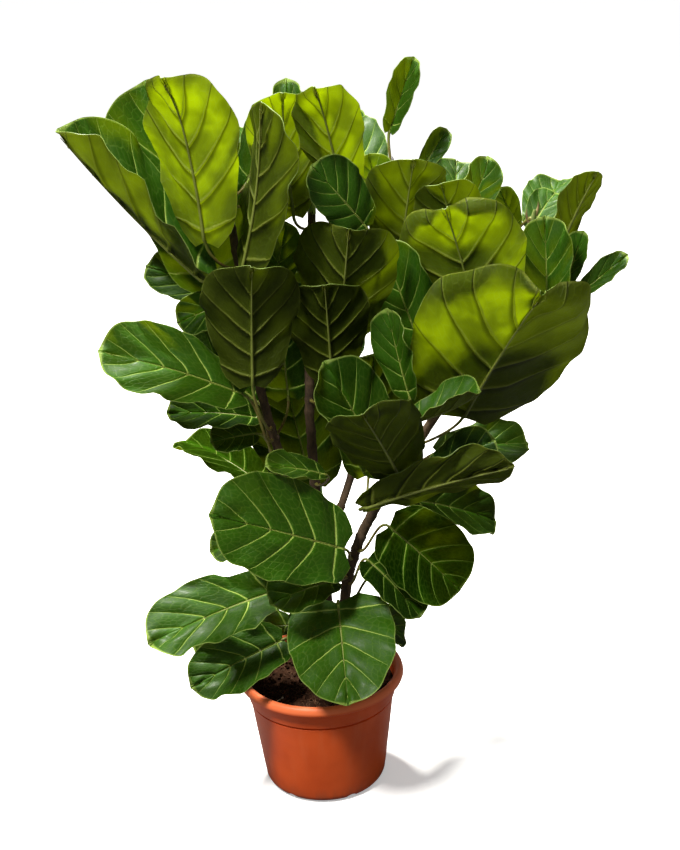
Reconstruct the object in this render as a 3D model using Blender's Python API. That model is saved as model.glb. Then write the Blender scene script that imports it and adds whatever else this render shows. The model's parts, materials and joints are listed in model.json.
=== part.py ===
"""A fiddle leaf fig in a nursery pot: pot, soil, three woody stems, leaves and leafy shoot tips.

Metres, +Z up. The origin is the centre of the flat underside of the pot, and -Y is the front.
"""
import math
import random
from collections import namedtuple

import bmesh
import bpy
import numpy as np
from mathutils import Matrix, Vector
from mathutils.bvhtree import BVHTree

# ---------------------------------------------------------------- driving dimensions
GAP = 0.0003                 # clearance between neighbouring pieces

POT_HEIGHT = 0.197
POT_SIDES = 40
RIM_RADIUS = 0.135
COLLAR_RADIUS = 0.1205
WALL_RADIUS = 0.1180         # just under the collar
FOOT_RADIUS = 0.0985
WALL_THICKNESS = 0.0022
FLOOR_THICKNESS = 0.004
GROOVE_HEIGHT = POT_HEIGHT - 0.034     # where the collar steps out from the wall
FOOT_CURVE = 0.012                     # height of the rounded foot
BORE_FOOT = FOOT_RADIUS - WALL_THICKNESS - 0.002
BORE_TOP = POT_HEIGHT - 0.010          # where the rim's lip runs into the bore
NOTCH_COUNT = 6
NOTCH_SIZE = (0.020, 0.016, 0.006)

SOIL_LEVEL = 0.170
SOIL_SIDES = 32
SOIL_RINGS = (0.2, 0.45, 0.7, 0.88)
SOIL_LUMP = 0.004

STEM_SIDES = 8
STEM_STEP = 0.06             # height of one length of stem mesh
HOLE_SIDES = 16
HOLE_FLOOR = 0.120           # depth at which the stems stand in the soil

BLADE_THICKNESS = 0.0010
MIDRIB_DEPTH = 0.0022        # how far the midrib stands out below the blade
STALK_RADIUS = 0.0030
STALK_FLARE = 1.25           # how much wider a stalk is at its stem
SEAT_RAYS = 12               # directions tested round a stalk's foot
CLEARANCE = 0.0007           # room kept on each side of a blade when it is settled
LARGE_LEAF = 0.20            # leaves at least this long get the finer stations

# Where the cross lines of a blade start on the midrib, as fractions of its length.
LARGE_STATIONS = (0.0, 0.09, 0.26, 0.44, 0.62, 0.79, 0.92, 1.0)
SMALL_STATIONS = (0.0, 0.14, 0.38, 0.62, 0.85, 1.0)
ACROSS = (-1.0, -0.52, 0.0, 0.52, 1.0)
RING_ANGLES = (162, 126, 90, 54, 18, -18, -54, -90, -126, -162)
RING = len(RING_ANGLES)      # points round a leaf: half on its upper side, half below
SLANTED = (0, 1, 5, 6)       # spans of a ring that are split along the other diagonal
STALK_PARTS = (0.0, 0.45, 0.94)        # where the rings of a stalk are along it

# Two outlines that a leaf mixes: (start on the midrib, end along the length, half width), the
# width as a fraction of the widest half. SLIM narrows to the stalk; BROAD has round lobes there.
SLIM = (
    (0.00, -0.02, 0.18), (0.09, 0.07, 0.42), (0.26, 0.27, 0.62), (0.44, 0.48, 0.85),
    (0.62, 0.68, 1.00), (0.79, 0.86, 0.94), (0.92, 0.96, 0.62), (1.00, 1.00, 0.03),
)
BROAD = (
    (0.00, -0.07, 0.40), (0.09, 0.02, 0.80), (0.26, 0.24, 0.98), (0.44, 0.45, 1.00),
    (0.62, 0.65, 0.92), (0.79, 0.83, 0.72), (0.92, 0.95, 0.42), (1.00, 1.00, 0.03),
)

# ---------------------------------------------------------------- stems
# axis: points from the foot up; woody_top: where bark ends and the soft green shoot starts.
Stem = namedtuple("Stem", "axis foot_radius top_radius woody_top parent", defaults=(None,))

STEMS = {
    "left": Stem(
        ((-0.026, 0.012, 0.120), (-0.020, 0.008, 0.200), (-0.004, 0.004, 0.330),
         (-0.014, 0.002, 0.460), (-0.048, -0.004, 0.580), (-0.072, -0.012, 0.700),
         (-0.084, -0.008, 0.830), (-0.098, 0.000, 0.950), (-0.102, 0.004, 1.010)),
        0.0090, 0.0058, 0.930),
    "centre": Stem(
        ((0.014, 0.044, 0.120), (0.016, 0.044, 0.220), (0.014, 0.046, 0.360), (0.006, 0.050, 0.500),
         (0.004, 0.052, 0.640), (0.014, 0.054, 0.800), (0.022, 0.054, 0.940), (0.020, 0.052, 1.010)),
        0.0095, 0.0060, 0.935),
    "right": Stem(
        ((0.034, -0.012, 0.120), (0.038, -0.010, 0.240), (0.054, -0.004, 0.370), (0.098, 0.004, 0.470),
         (0.172, 0.020, 0.575), (0.246, 0.052, 0.672), (0.314, 0.086, 0.772), (0.352, 0.106, 0.850),
         (0.366, 0.112, 0.910)),
        0.0100, 0.0058, 0.840),
    "north": Stem(
        ((0.014, 0.046, 0.360), (0.046, 0.064, 0.450), (0.106, 0.100, 0.610), (0.134, 0.122, 0.780),
         (0.142, 0.134, 0.900), (0.144, 0.140, 0.985)),
        0.0070, 0.0052, 0.905, "centre"),
    "front": Stem(
        ((0.078, 0.000, 0.430), (0.100, -0.028, 0.490), (0.120, -0.066, 0.560), (0.130, -0.092, 0.620),
         (0.134, -0.100, 0.670)),
        0.0066, 0.0050, 0.615, "right"),
    "middle": Stem(
        ((0.188, 0.026, 0.595), (0.208, 0.032, 0.660), (0.222, 0.044, 0.760), (0.228, 0.052, 0.840),
         (0.232, 0.056, 0.890)),
        0.0062, 0.0050, 0.830, "right"),
}

# ---------------------------------------------------------------- leaves
# A leaf leaves its stem at a height. Its blade runs from base to tip, and its upper side looks
# along face, a compass angle from +X and an elevation in degrees. width, arch, curl, wave and
# notch are fractions of the blade's length; fold, cup and twist are degrees.
Leaf = namedtuple(
    "Leaf", "stem height base tip face width arch curl fold cup twist notch broad",
    defaults=((270, 45), 0.64, 0.04, 0.0, 8, 14, 0, 0.0, 0.3))

LEAVES = (
    # the large leaves of the front, which are placed first
    Leaf("front", 0.600, (0.229, -0.070, 0.641), (0.316, -0.220, 0.861), (92, 15), 1.0, 0.03,
         notch=0.1, broad=0.5),
    Leaf("left", 0.870, (-0.132, -0.050, 0.918), (-0.160, -0.100, 1.158), (64, 2), 0.62, 0.04, 0.08, 8),
    Leaf("left", 0.620, (-0.078, -0.070, 0.708), (-0.066, -0.120, 0.900), (95, 5), 0.76, 0.05, 0.05),
    Leaf("left", 0.600, (-0.094, -0.050, 0.688), (-0.292, -0.100, 0.780), (265, 52), 0.58, 0.05, 0, 6),
    Leaf("right", 0.390, (0.046, -0.050, 0.428), (-0.152, -0.130, 0.532), (268, 42), 0.74, 0.03, 0, 5,
         broad=0.6),
    Leaf("left", 0.340, (-0.060, -0.050, 0.364), (-0.256, -0.150, 0.336), (262, 60), 0.58, 0.04, broad=0.5),
    Leaf("left", 0.260, (-0.058, -0.050, 0.276), (-0.202, -0.120, 0.240), (278, 52), 0.66, 0.03, broad=0.6),
    Leaf("right", 0.310, (0.032, -0.050, 0.336), (0.038, -0.190, 0.236), (270, 45), 0.98, 0.02, 0, 6,
         broad=1.0),
    Leaf("front", 0.520, (0.132, -0.100, 0.562), (0.074, -0.220, 0.708), (95, 35), 0.74, 0.03),
    Leaf("front", 0.500, (0.076, -0.100, 0.518), (0.290, -0.170, 0.600), (92, 32), 0.46, 0.02),
    Leaf("middle", 0.690, (0.266, -0.020, 0.744), (0.210, -0.050, 0.954), (78, 0), 0.92, 0.04, 0.06, 4),
    Leaf("left", 0.800, (-0.138, -0.030, 0.856), (-0.322, -0.060, 1.086), (345, 42), 0.56, -0.02, 0, 38, 10),
    Leaf("left", 0.840, (-0.080, -0.060, 0.878), (-0.040, -0.094, 1.114), (28, 0), 0.58, 0.04),
    Leaf("left", 0.790, (-0.126, 0.020, 0.838), (-0.206, 0.050, 1.136), (285, 15), 0.66, 0.03),
    Leaf("right", 0.405, (0.116, -0.050, 0.462), (0.222, -0.070, 0.356), (288, 22), 0.96, 0.05, broad=0.7),
    # centre stem, front side
    Leaf("centre", 0.900, (0.070, -0.010, 0.954), (0.034, -0.050, 1.130), (76, 2), 0.56, 0.04, 0.06),
    Leaf("centre", 0.850, (0.098, -0.030, 0.924), (0.022, -0.070, 1.022), (282, 25), 0.72, 0.04),
    Leaf("centre", 0.730, (0.056, -0.030, 0.766), (0.070, -0.080, 0.954), (92, 8), 0.90, 0.02, 0, 18),
    Leaf("centre", 0.640, (0.024, -0.040, 0.694), (0.010, -0.090, 0.852), (92, 5), 0.80, 0.04),
    Leaf("centre", 0.500, (0.016, -0.020, 0.535), (-0.080, -0.060, 0.560), (268, 60), 0.60, 0.04),
    Leaf("centre", 0.910, (-0.008, 0.000, 0.930), (-0.032, -0.040, 1.110), (88, 0), 0.62, 0.05, 0.12),
    Leaf("middle", 0.650, (0.190, 0.000, 0.724), (0.156, 0.010, 0.910), (258, 4), 0.60, 0.03, 0, 14),
    Leaf("north", 0.790, (0.152, 0.060, 0.850), (0.174, 0.030, 1.008), (96, 5), 0.84, 0.04),
    Leaf("front", 0.540, (0.112, -0.060, 0.560), (0.042, -0.080, 0.746), (290, 12), 0.60, 0.04, 0, 14),
    # left stem, darker leaves behind and below
    Leaf("left", 0.720, (-0.114, 0.030, 0.812), (-0.230, 0.050, 0.866), (268, 40), 0.62, 0.05),
    Leaf("left", 0.700, (-0.106, 0.010, 0.820), (-0.200, 0.000, 0.778), (268, 30), 0.66, 0.06),
    Leaf("left", 0.560, (-0.076, 0.030, 0.648), (-0.186, 0.070, 0.734), (268, 40), 0.68, 0.05),
    Leaf("left", 0.550, (-0.068, -0.010, 0.640), (-0.202, -0.030, 0.672), (268, 68), 0.66, 0.05),
    Leaf("left", 0.520, (-0.070, -0.020, 0.620), (-0.138, -0.050, 0.626), (275, 50), 0.80, 0.05),
    Leaf("left", 0.400, (-0.050, 0.000, 0.436), (-0.164, -0.020, 0.422), (268, 50), 0.60, 0.05),
    Leaf("left", 0.240, (-0.042, 0.010, 0.268), (-0.208, 0.000, 0.240), (268, 70), 0.60, 0.05),
    Leaf("left", 0.780, (-0.040, 0.010, 0.815), (-0.016, 0.000, 0.932), (250, 10), 0.66, 0.05),
    # right side
    Leaf("right", 0.360, (0.030, -0.060, 0.380), (-0.072, -0.120, 0.376), (268, 60), 0.74, 0.05),
    Leaf("right", 0.350, (0.076, -0.050, 0.414), (0.152, -0.120, 0.352), (285, 50), 0.76, 0.05, broad=0.7),
    Leaf("right", 0.270, (0.064, -0.020, 0.306), (0.140, 0.030, 0.226), (300, 50), 0.60, 0.05),
    Leaf("right", 0.500, (0.160, 0.030, 0.470), (0.298, 0.070, 0.408), (290, 50), 0.62, 0.05),
    Leaf("right", 0.540, (0.200, 0.030, 0.548), (0.348, 0.050, 0.548), (268, 60), 0.62, 0.05),
    Leaf("right", 0.560, (0.184, -0.020, 0.532), (0.286, -0.010, 0.580), (268, 40), 0.70, 0.05),
    Leaf("right", 0.700, (0.372, 0.030, 0.760), (0.368, 0.040, 0.914), (262, 15), 0.56, 0.04, 0, 12),
    # the heart of the plant
    Leaf("centre", 0.440, (0.000, 0.110, 0.470), (-0.040, 0.130, 0.680), (274, 12), 0.84, 0.05),
    Leaf("centre", 0.620, (0.035, 0.120, 0.650), (0.060, 0.130, 0.850), (266, 12), 0.80, 0.05),
    Leaf("left", 0.600, (-0.035, 0.075, 0.640), (-0.045, 0.090, 0.830), (270, 10), 0.74, 0.05),
    Leaf("right", 0.460, (0.100, 0.070, 0.500), (0.120, 0.100, 0.700), (266, 12), 0.80, 0.05),
    # the back
    Leaf("left", 0.470, (-0.070, 0.070, 0.500), (-0.190, 0.190, 0.550), (135, 70), 0.66, 0.06),
    Leaf("centre", 0.400, (-0.010, 0.110, 0.420), (-0.060, 0.280, 0.440), (100, 70), 0.66, 0.06),
    Leaf("north", 0.500, (0.120, 0.150, 0.540), (0.220, 0.290, 0.600), (50, 70), 0.66, 0.06),
    Leaf("north", 0.620, (0.070, 0.160, 0.670), (0.020, 0.280, 0.800), (110, 60), 0.66, 0.05),
    Leaf("right", 0.620, (0.260, 0.110, 0.640), (0.400, 0.210, 0.700), (40, 60), 0.66, 0.05),
    Leaf("right", 0.300, (0.090, 0.050, 0.330), (0.230, 0.150, 0.330), (35, 70), 0.66, 0.06),
)

TIP_LEAVES = {
    "left": (
        Leaf("left", 0.985, (-0.104, 0.002, 1.010), (-0.106, -0.010, 1.110), (95, 0), 0.40, 0.0, 0, 30),
        Leaf("left", 0.970, (-0.072, 0.020, 0.985), (-0.016, 0.070, 1.090), (280, 25), 0.60, 0.04),
        Leaf("left", 0.955, (-0.066, 0.040, 0.960), (-0.060, 0.180, 1.040), (100, 60), 0.66, 0.05),
    ),
    "centre": (
        Leaf("centre", 0.955, (-0.020, 0.068, 1.010), (-0.046, 0.070, 1.142), (275, 0), 0.46, 0.03, 0.10),
        Leaf("centre", 0.970, (0.002, 0.075, 1.015), (0.002, 0.105, 1.122), (262, 20), 0.60, 0.03),
        Leaf("centre", 0.950, (0.050, 0.090, 0.980), (0.110, 0.160, 1.070), (230, 40), 0.66, 0.04),
        Leaf("centre", 0.945, (0.000, 0.100, 0.960), (-0.060, 0.230, 1.010), (100, 70), 0.66, 0.06),
    ),
    "north": (
        Leaf("north", 0.970, (0.147, 0.138, 1.035), (0.186, 0.136, 1.144), (262, 5), 0.56, 0.0, 0, 42, 6),
        Leaf("north", 0.950, (0.195, 0.172, 0.965), (0.240, 0.190, 1.028), (290, 30), 0.50, 0.03),
        Leaf("north", 0.925, (0.130, 0.112, 0.915), (0.112, 0.105, 1.008), (275, 15), 0.72, 0.03),
        Leaf("north", 0.940, (0.130, 0.190, 0.950), (0.080, 0.290, 1.040), (290, 50), 0.66, 0.04),
    ),
    "right": (
        Leaf("right", 0.880, (0.400, 0.088, 0.850), (0.450, 0.060, 0.972), (122, -4), 0.56, 0.03),
        Leaf("right", 0.890, (0.366, 0.150, 0.870), (0.412, 0.185, 0.924), (262, 55), 0.76, 0.03, 0.1),
        Leaf("right", 0.870, (0.406, 0.072, 0.790), (0.432, 0.060, 0.884), (240, 20), 0.50, 0.02, 0, 20),
        Leaf("right", 0.860, (0.412, 0.056, 0.774), (0.500, 0.060, 0.844), (268, 40), 0.40, 0.02, 0, 28),
        Leaf("right", 0.895, (0.338, 0.120, 0.880), (0.312, 0.120, 0.945), (268, 20), 0.62, 0.03),
        Leaf("right", 0.880, (0.380, 0.170, 0.860), (0.440, 0.290, 0.920), (60, 70), 0.66, 0.05),
    ),
    "front": (
        Leaf("front", 0.640, (0.142, -0.130, 0.652), (0.234, -0.190, 0.682), (268, 48), 0.84, -0.05, 0, 14,
             50),
        Leaf("front", 0.650, (0.150, -0.075, 0.680), (0.118, -0.040, 0.810), (255, 8), 0.50, 0.03, 0, 20),
    ),
    "middle": (
        Leaf("middle", 0.850, (0.240, 0.040, 0.858), (0.214, 0.020, 0.980), (80, 0), 0.86, 0.03, 0.06),
        Leaf("middle", 0.860, (0.244, 0.074, 0.900), (0.284, 0.070, 1.002), (285, 10), 0.60, 0.03, 0.12),
        Leaf("middle", 0.870, (0.240, 0.120, 0.900), (0.260, 0.230, 0.980), (290, 50), 0.66, 0.04),
    ),
}

# ---------------------------------------------------------------- colours
Finish = namedtuple("Finish", "colour roughness")
FINISHES = {
    "pot_plastic": Finish((0.52, 0.075, 0.018), 0.45),
    "potting_soil": Finish((0.030, 0.017, 0.010), 0.95),
    "stem_bark": Finish((0.13, 0.085, 0.055), 0.85),
    "leaf_green": Finish((0.045, 0.12, 0.018), 0.35),
    "shoot_green": Finish((0.12, 0.22, 0.035), 0.40),
}


# ---------------------------------------------------------------- small helpers
def unit(vector):
    """Return a vector, or each row of an array, at length one."""
    vector = np.asarray(vector, float)
    return vector / np.linalg.norm(vector, axis=-1, keepdims=True)


def turn(axis, angle):
    """Return the 3 x 3 matrix that turns by an angle in radians about an axis."""
    return np.array(Matrix.Rotation(angle, 3, Vector(axis)))


def through(knots, values, where):
    """Read a smooth curve that passes through values at rising knots."""
    knots = np.asarray(knots, float)
    values = np.asarray(values, float)
    steps = np.diff(knots)
    rises = np.diff(values, axis=0) / steps.reshape((-1,) + (1,) * (values.ndim - 1))
    slopes = np.concatenate([rises[:1], (rises[:-1] + rises[1:]) / 2, rises[-1:]])
    where = np.clip(np.asarray(where, float), knots[0], knots[-1])
    span = np.clip(np.searchsorted(knots, where, side="right") - 1, 0, len(steps) - 1)
    width = steps[span]
    part = (where - knots[span]) / width
    if values.ndim > 1:
        width = width[..., None]
        part = part[..., None]
    start = (1 + 2 * part) * (1 - part) ** 2 * values[span] + part * (1 - part) ** 2 * width * slopes[span]
    end = part ** 2 * (3 - 2 * part) * values[span + 1] - part ** 2 * (1 - part) * width * slopes[span + 1]
    return start + end


def finish(name):
    """Return the named Principled material, made on first use."""
    material = bpy.data.materials.get(name)
    if material is None:
        material = bpy.data.materials.new(name)
        material.use_nodes = True
        shader = material.node_tree.nodes["Principled BSDF"]
        shader.inputs["Base Color"].default_value = (*FINISHES[name].colour, 1.0)
        shader.inputs["Roughness"].default_value = FINISHES[name].roughness
        shader.inputs["Metallic"].default_value = 0.0
    return material


def add_object(name, points, faces, finish_name):
    """Make an object from points and faces, with its faces pointing out."""
    mesh = bpy.data.meshes.new(name)
    mesh.from_pydata([tuple(p) for p in points], [], faces)
    shape = bmesh.new()
    shape.from_mesh(mesh)
    bmesh.ops.recalc_face_normals(shape, faces=shape.faces)
    shape.to_mesh(mesh)
    shape.free()
    mesh.materials.append(finish(finish_name))
    body = bpy.data.objects.new(name, mesh)
    bpy.context.scene.collection.objects.link(body)
    return body


def apply_modifiers(body):
    """Give a body the mesh that its modifiers make."""
    bpy.context.view_layer.update()
    evaluated = body.evaluated_get(bpy.context.evaluated_depsgraph_get())
    made = bpy.data.meshes.new_from_object(evaluated)
    body.modifiers.clear()
    body.data = made


def fuse(body, parts, solver):
    """Join closed shapes to a body by one union, then remove them."""
    group = bpy.data.collections.new(body.name + "_parts")
    bpy.context.scene.collection.children.link(group)
    for part in parts:
        bpy.context.scene.collection.objects.unlink(part)
        group.objects.link(part)
    union = body.modifiers.new("union", "BOOLEAN")
    union.operation = "UNION"
    union.operand_type = "COLLECTION"
    union.collection = group
    union.solver = solver
    apply_modifiers(body)
    for part in parts:
        bpy.data.objects.remove(part, do_unlink=True)
    bpy.data.collections.remove(group)


def cut(body, cutters):
    """Cut shapes out of a body, then remove them."""
    for number, cutter in enumerate(cutters):
        cutter.hide_render = True
        cutter.display_type = "WIRE"
        difference = body.modifiers.new(f"cut_{number}", "BOOLEAN")
        difference.operation = "DIFFERENCE"
        difference.object = cutter
    apply_modifiers(body)
    for cutter in cutters:
        bpy.data.objects.remove(cutter, do_unlink=True)


def cylinder(name, radius, bottom, top, centre, sides):
    """Make an upright cylinder, used to cut a hole."""
    shape = bmesh.new()
    place = Matrix.Translation((centre[0], centre[1], (bottom + top) / 2))
    bmesh.ops.create_cone(shape, cap_ends=True, segments=sides, radius1=radius, radius2=radius,
                          depth=top - bottom, matrix=place)
    mesh = bpy.data.meshes.new(name)
    shape.to_mesh(mesh)
    shape.free()
    body = bpy.data.objects.new(name, mesh)
    bpy.context.scene.collection.objects.link(body)
    return body


# ---------------------------------------------------------------- pot and soil
def wall_radius(height):
    """Outer radius of the tapered pot wall at a height."""
    return FOOT_RADIUS + (WALL_RADIUS - FOOT_RADIUS) * height / GROOVE_HEIGHT


def bore_radius(height):
    """Inner radius of the pot above its foot."""
    share = (height - FOOT_CURVE) / (BORE_TOP - FOOT_CURVE)
    return BORE_FOOT + (COLLAR_RADIUS - WALL_THICKNESS - BORE_FOOT) * share


def make_pot():
    """Make the pot: slanting rim, collar, tapered wall, rounded foot and drain notches."""
    top = POT_HEIGHT
    groove = GROOVE_HEIGHT
    outside = (
        (FOOT_RADIUS - 0.012, 0.0), (FOOT_RADIUS - 0.003, 0.003),
        (wall_radius(FOOT_CURVE), FOOT_CURVE), (WALL_RADIUS, groove - 0.001),
        (COLLAR_RADIUS, groove + 0.001), (COLLAR_RADIUS + 0.0015, top - 0.015),
        (RIM_RADIUS, top - 0.012), (RIM_RADIUS - 0.003, top),
    )
    inside = (
        (bore_radius(BORE_TOP), BORE_TOP), (BORE_FOOT, FOOT_CURVE),
        (BORE_FOOT - 0.004, FLOOR_THICKNESS),
    )
    shape = bmesh.new()
    rows = []
    for radius, height in outside + inside:
        turns = [2 * math.pi * i / POT_SIDES for i in range(POT_SIDES)]
        rows.append([shape.verts.new((radius * math.cos(a), radius * math.sin(a), height)) for a in turns])
    for lower, upper in zip(rows, rows[1:]):
        for i in range(POT_SIDES):
            j = (i + 1) % POT_SIDES
            shape.faces.new((lower[i], lower[j], upper[j], upper[i]))
    shape.faces.new(rows[0])
    shape.faces.new(rows[-1])
    bmesh.ops.recalc_face_normals(shape, faces=shape.faces)
    mesh = bpy.data.meshes.new("pot")
    shape.to_mesh(mesh)
    shape.free()
    mesh.shade_smooth()
    mesh.set_sharp_from_angle(angle=math.radians(35))
    mesh.materials.append(finish("pot_plastic"))
    pot = bpy.data.objects.new("pot", mesh)
    bpy.context.scene.collection.objects.link(pot)

    cutters = []
    for number in range(NOTCH_COUNT):
        angle = math.radians(-66) + 2 * math.pi * number / NOTCH_COUNT
        shape = bmesh.new()
        bmesh.ops.create_cube(shape, size=1.0)
        bmesh.ops.scale(shape, vec=NOTCH_SIZE, verts=shape.verts)
        reach = FOOT_RADIUS - 0.004
        place = Matrix.Rotation(angle, 4, "Z") @ Matrix.Translation((reach, 0, 0))
        bmesh.ops.transform(shape, matrix=place, verts=shape.verts)
        notch = bpy.data.meshes.new("notch")
        shape.to_mesh(notch)
        shape.free()
        cutter = bpy.data.objects.new(f"notch_{number}", notch)
        bpy.context.scene.collection.objects.link(cutter)
        cutters.append(cutter)
    cut(pot, cutters)
    return pot


def make_soil():
    """Make the plug of soil with a lumpy top and a plain hole for each stem."""
    chance = random.Random(11)
    flat = math.cos(math.pi / POT_SIDES)       # the pot's facets lie inside its round bore
    low = FOOT_CURVE + 0.001
    bottom_radius = (BORE_FOOT - 0.008) * flat - GAP
    low_radius = BORE_FOOT * flat - GAP
    top_radius = bore_radius(SOIL_LEVEL) * flat - GAP - 0.0004
    rows = [(bottom_radius, FLOOR_THICKNESS + 0.0025), (low_radius, low), (top_radius, SOIL_LEVEL - 0.004)]
    points = []
    for radius, height in rows:
        for i in range(SOIL_SIDES):
            angle = 2 * math.pi * i / SOIL_SIDES
            points.append((radius * math.cos(angle), radius * math.sin(angle), height))
    for share in reversed(SOIL_RINGS):
        for i in range(SOIL_SIDES):
            angle = 2 * math.pi * (i + 0.35 * chance.random()) / SOIL_SIDES
            height = SOIL_LEVEL + SOIL_LUMP * (chance.random() - 0.5) + 0.004 * (1 - share)
            radius = top_radius * share
            points.append((radius * math.cos(angle), radius * math.sin(angle), height))
    count = 3 + len(SOIL_RINGS)
    faces = [tuple(range(SOIL_SIDES)), tuple(range((count - 1) * SOIL_SIDES, count * SOIL_SIDES))]
    for row in range(count - 1):
        for i in range(SOIL_SIDES):
            j = (i + 1) % SOIL_SIDES
            a, b = row * SOIL_SIDES, (row + 1) * SOIL_SIDES
            if row < 2:
                faces.append((a + i, a + j, b + j, b + i))
            else:
                faces.append((a + i, a + j, b + j))
                faces.append((a + i, b + j, b + i))
    soil = add_object("soil", points, faces, "potting_soil")
    holes = []
    for name, stem in STEMS.items():
        if stem.parent is None:
            low_point = axis_point(name, HOLE_FLOOR)[:2]
            high_point = axis_point(name, SOIL_LEVEL + 0.006)[:2]
            lean = np.linalg.norm(high_point - low_point) / 2
            radius = (stem_radius(name, HOLE_FLOOR) + lean) / math.cos(math.pi / HOLE_SIDES) + GAP
            centre = (low_point + high_point) / 2
            holes.append(cylinder(f"hole_{name}", radius, HOLE_FLOOR - GAP, POT_HEIGHT, centre, HOLE_SIDES))
    cut(soil, holes)
    return soil


# ---------------------------------------------------------------- stems
def axis_point(name, height):
    """Centre of a stem at a height."""
    axis = np.array(STEMS[name].axis)
    return through(axis[:, 2], axis, height)


def axis_slope(name, height):
    """Direction in which a stem grows at a height."""
    return unit(axis_point(name, height + 0.004) - axis_point(name, height - 0.004))


def stem_radius(name, height):
    """Radius of a stem at a height; the feet flare a little."""
    stem = STEMS[name]
    low, high = stem.axis[0][2], stem.axis[-1][2]
    share = (height - low) / (high - low)
    radius = stem.foot_radius + (stem.top_radius - stem.foot_radius) * share
    if stem.parent is None:
        radius += 0.0025 * max(0.0, 1 - (height - low) / 0.12) ** 2
    return radius


def tube(name, centres, slopes, radii, sides, finish_name):
    """Make a closed tube through centres, with one ring of points at each."""
    points = []
    side = unit(np.cross(slopes[0], (0.0, 1.0, 0.0)))
    for centre, slope, radius in zip(centres, slopes, radii):
        side = unit(side - slope * np.dot(side, slope))
        other = np.cross(slope, side)
        for i in range(sides):
            angle = 2 * math.pi * i / sides
            points.append(centre + radius * (math.cos(angle) * side + math.sin(angle) * other))
    faces = [tuple(range(sides)), tuple(range(len(points) - sides, len(points)))]
    for row in range(len(centres) - 1):
        for i in range(sides):
            j = (i + 1) % sides
            faces.append((row * sides + i, row * sides + j, (row + 1) * sides + j, (row + 1) * sides + i))
    return add_object(name, points, faces, finish_name)


def stem_tube(name, low, high, label, finish_name, end_scale=1.0):
    """Make a length of a stem between two heights; end_scale narrows its last ring."""
    count = max(2, round((high - low) / STEM_STEP) + 1)
    heights = np.linspace(low, high, count)
    radii = [stem_radius(name, h) for h in heights]
    radii[-1] *= end_scale
    centres = [axis_point(name, h) for h in heights]
    slopes = [axis_slope(name, h) for h in heights]
    if low == HOLE_FLOOR:
        slopes[0] = np.array((0.0, 0.0, 1.0))
    return tube(label, centres, slopes, radii, STEM_SIDES, finish_name)


BARK = {}                    # surface trees of the woody stems, by name, for seating the stalks


def bark_distance(name, centre, out, radius):
    """Distance along a direction from a stem's axis at which a disc of a radius clears the bark."""
    tree = BARK[STEMS[name].parent or name]
    side = unit(np.cross(out, (0.0, 0.0, 1.0)))
    up = np.cross(side, out)
    spots = [centre]
    for angle in np.linspace(0.0, 2 * math.pi, SEAT_RAYS, endpoint=False):
        spots.append(centre + radius * (math.cos(angle) * side + math.sin(angle) * up))
    return max(tree.ray_cast(Vector(spot), Vector(out))[3] for spot in spots)


def make_stems():
    """Make the three woody stems, each with its forks fused on."""
    made = []
    for name, stem in STEMS.items():
        if stem.parent is None:
            body = stem_tube(name, HOLE_FLOOR, stem.woody_top, f"stem_{name}", "stem_bark")
            forks = [other for other, row in STEMS.items() if row.parent == name]
            parts = []
            for fork in forks:
                row = STEMS[fork]
                parts.append(stem_tube(fork, row.axis[0][2], row.woody_top, f"fork_{fork}", "stem_bark"))
            if parts:
                fuse(body, parts, "EXACT")
            points = [vertex.co for vertex in body.data.vertices]
            faces = [polygon.vertices for polygon in body.data.polygons]
            BARK[name] = BVHTree.FromPolygons(points, faces)
            made.append(body)
    return made


# ---------------------------------------------------------------- leaf geometry
def leaf_frame(leaf, change=(0.0, 0.0, 0.0, 1.0), pivot=None):
    """Return root, base, tip and upper normal of a leaf, turned by a small change about its root.

    change is (swing, lift, roll, reach): radians about Z, radians up, radians about the blade,
    and a factor on the distance from the root.
    """
    swing, lift, roll, reach = change
    centre = axis_point(leaf.stem, leaf.height)
    base = np.array(leaf.base)
    tip = np.array(leaf.tip)
    compass, elevation = (math.radians(a) for a in leaf.face)
    normal = np.array((math.cos(compass) * math.cos(elevation), math.sin(compass) * math.cos(elevation),
                       math.sin(elevation)))
    around = centre if pivot is None else pivot
    run = tip - around
    level = unit(np.cross(run, (0.0, 0.0, 1.0)))
    spin = turn((0.0, 0.0, 1.0), swing) @ turn(level, lift)
    base = around + spin @ (base - around) * reach
    tip = around + spin @ (tip - around) * reach
    chord = unit(tip - base)
    normal = turn(chord, roll) @ (spin @ normal)
    normal = unit(normal - chord * np.dot(normal, chord))
    return centre, base, tip, normal


def outline(leaf, start):
    """Return how far along and how wide the blade's edge is for cross lines that start on the midrib."""
    table = np.array(SLIM) * (1 - leaf.broad) + np.array(BROAD) * leaf.broad
    edge = through(table[:, 0], table[:, 1:], start)
    along = edge[..., 0] + leaf.notch * np.exp(-((start - 0.92) / 0.07) ** 2)
    return along, edge[..., 1]


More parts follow.
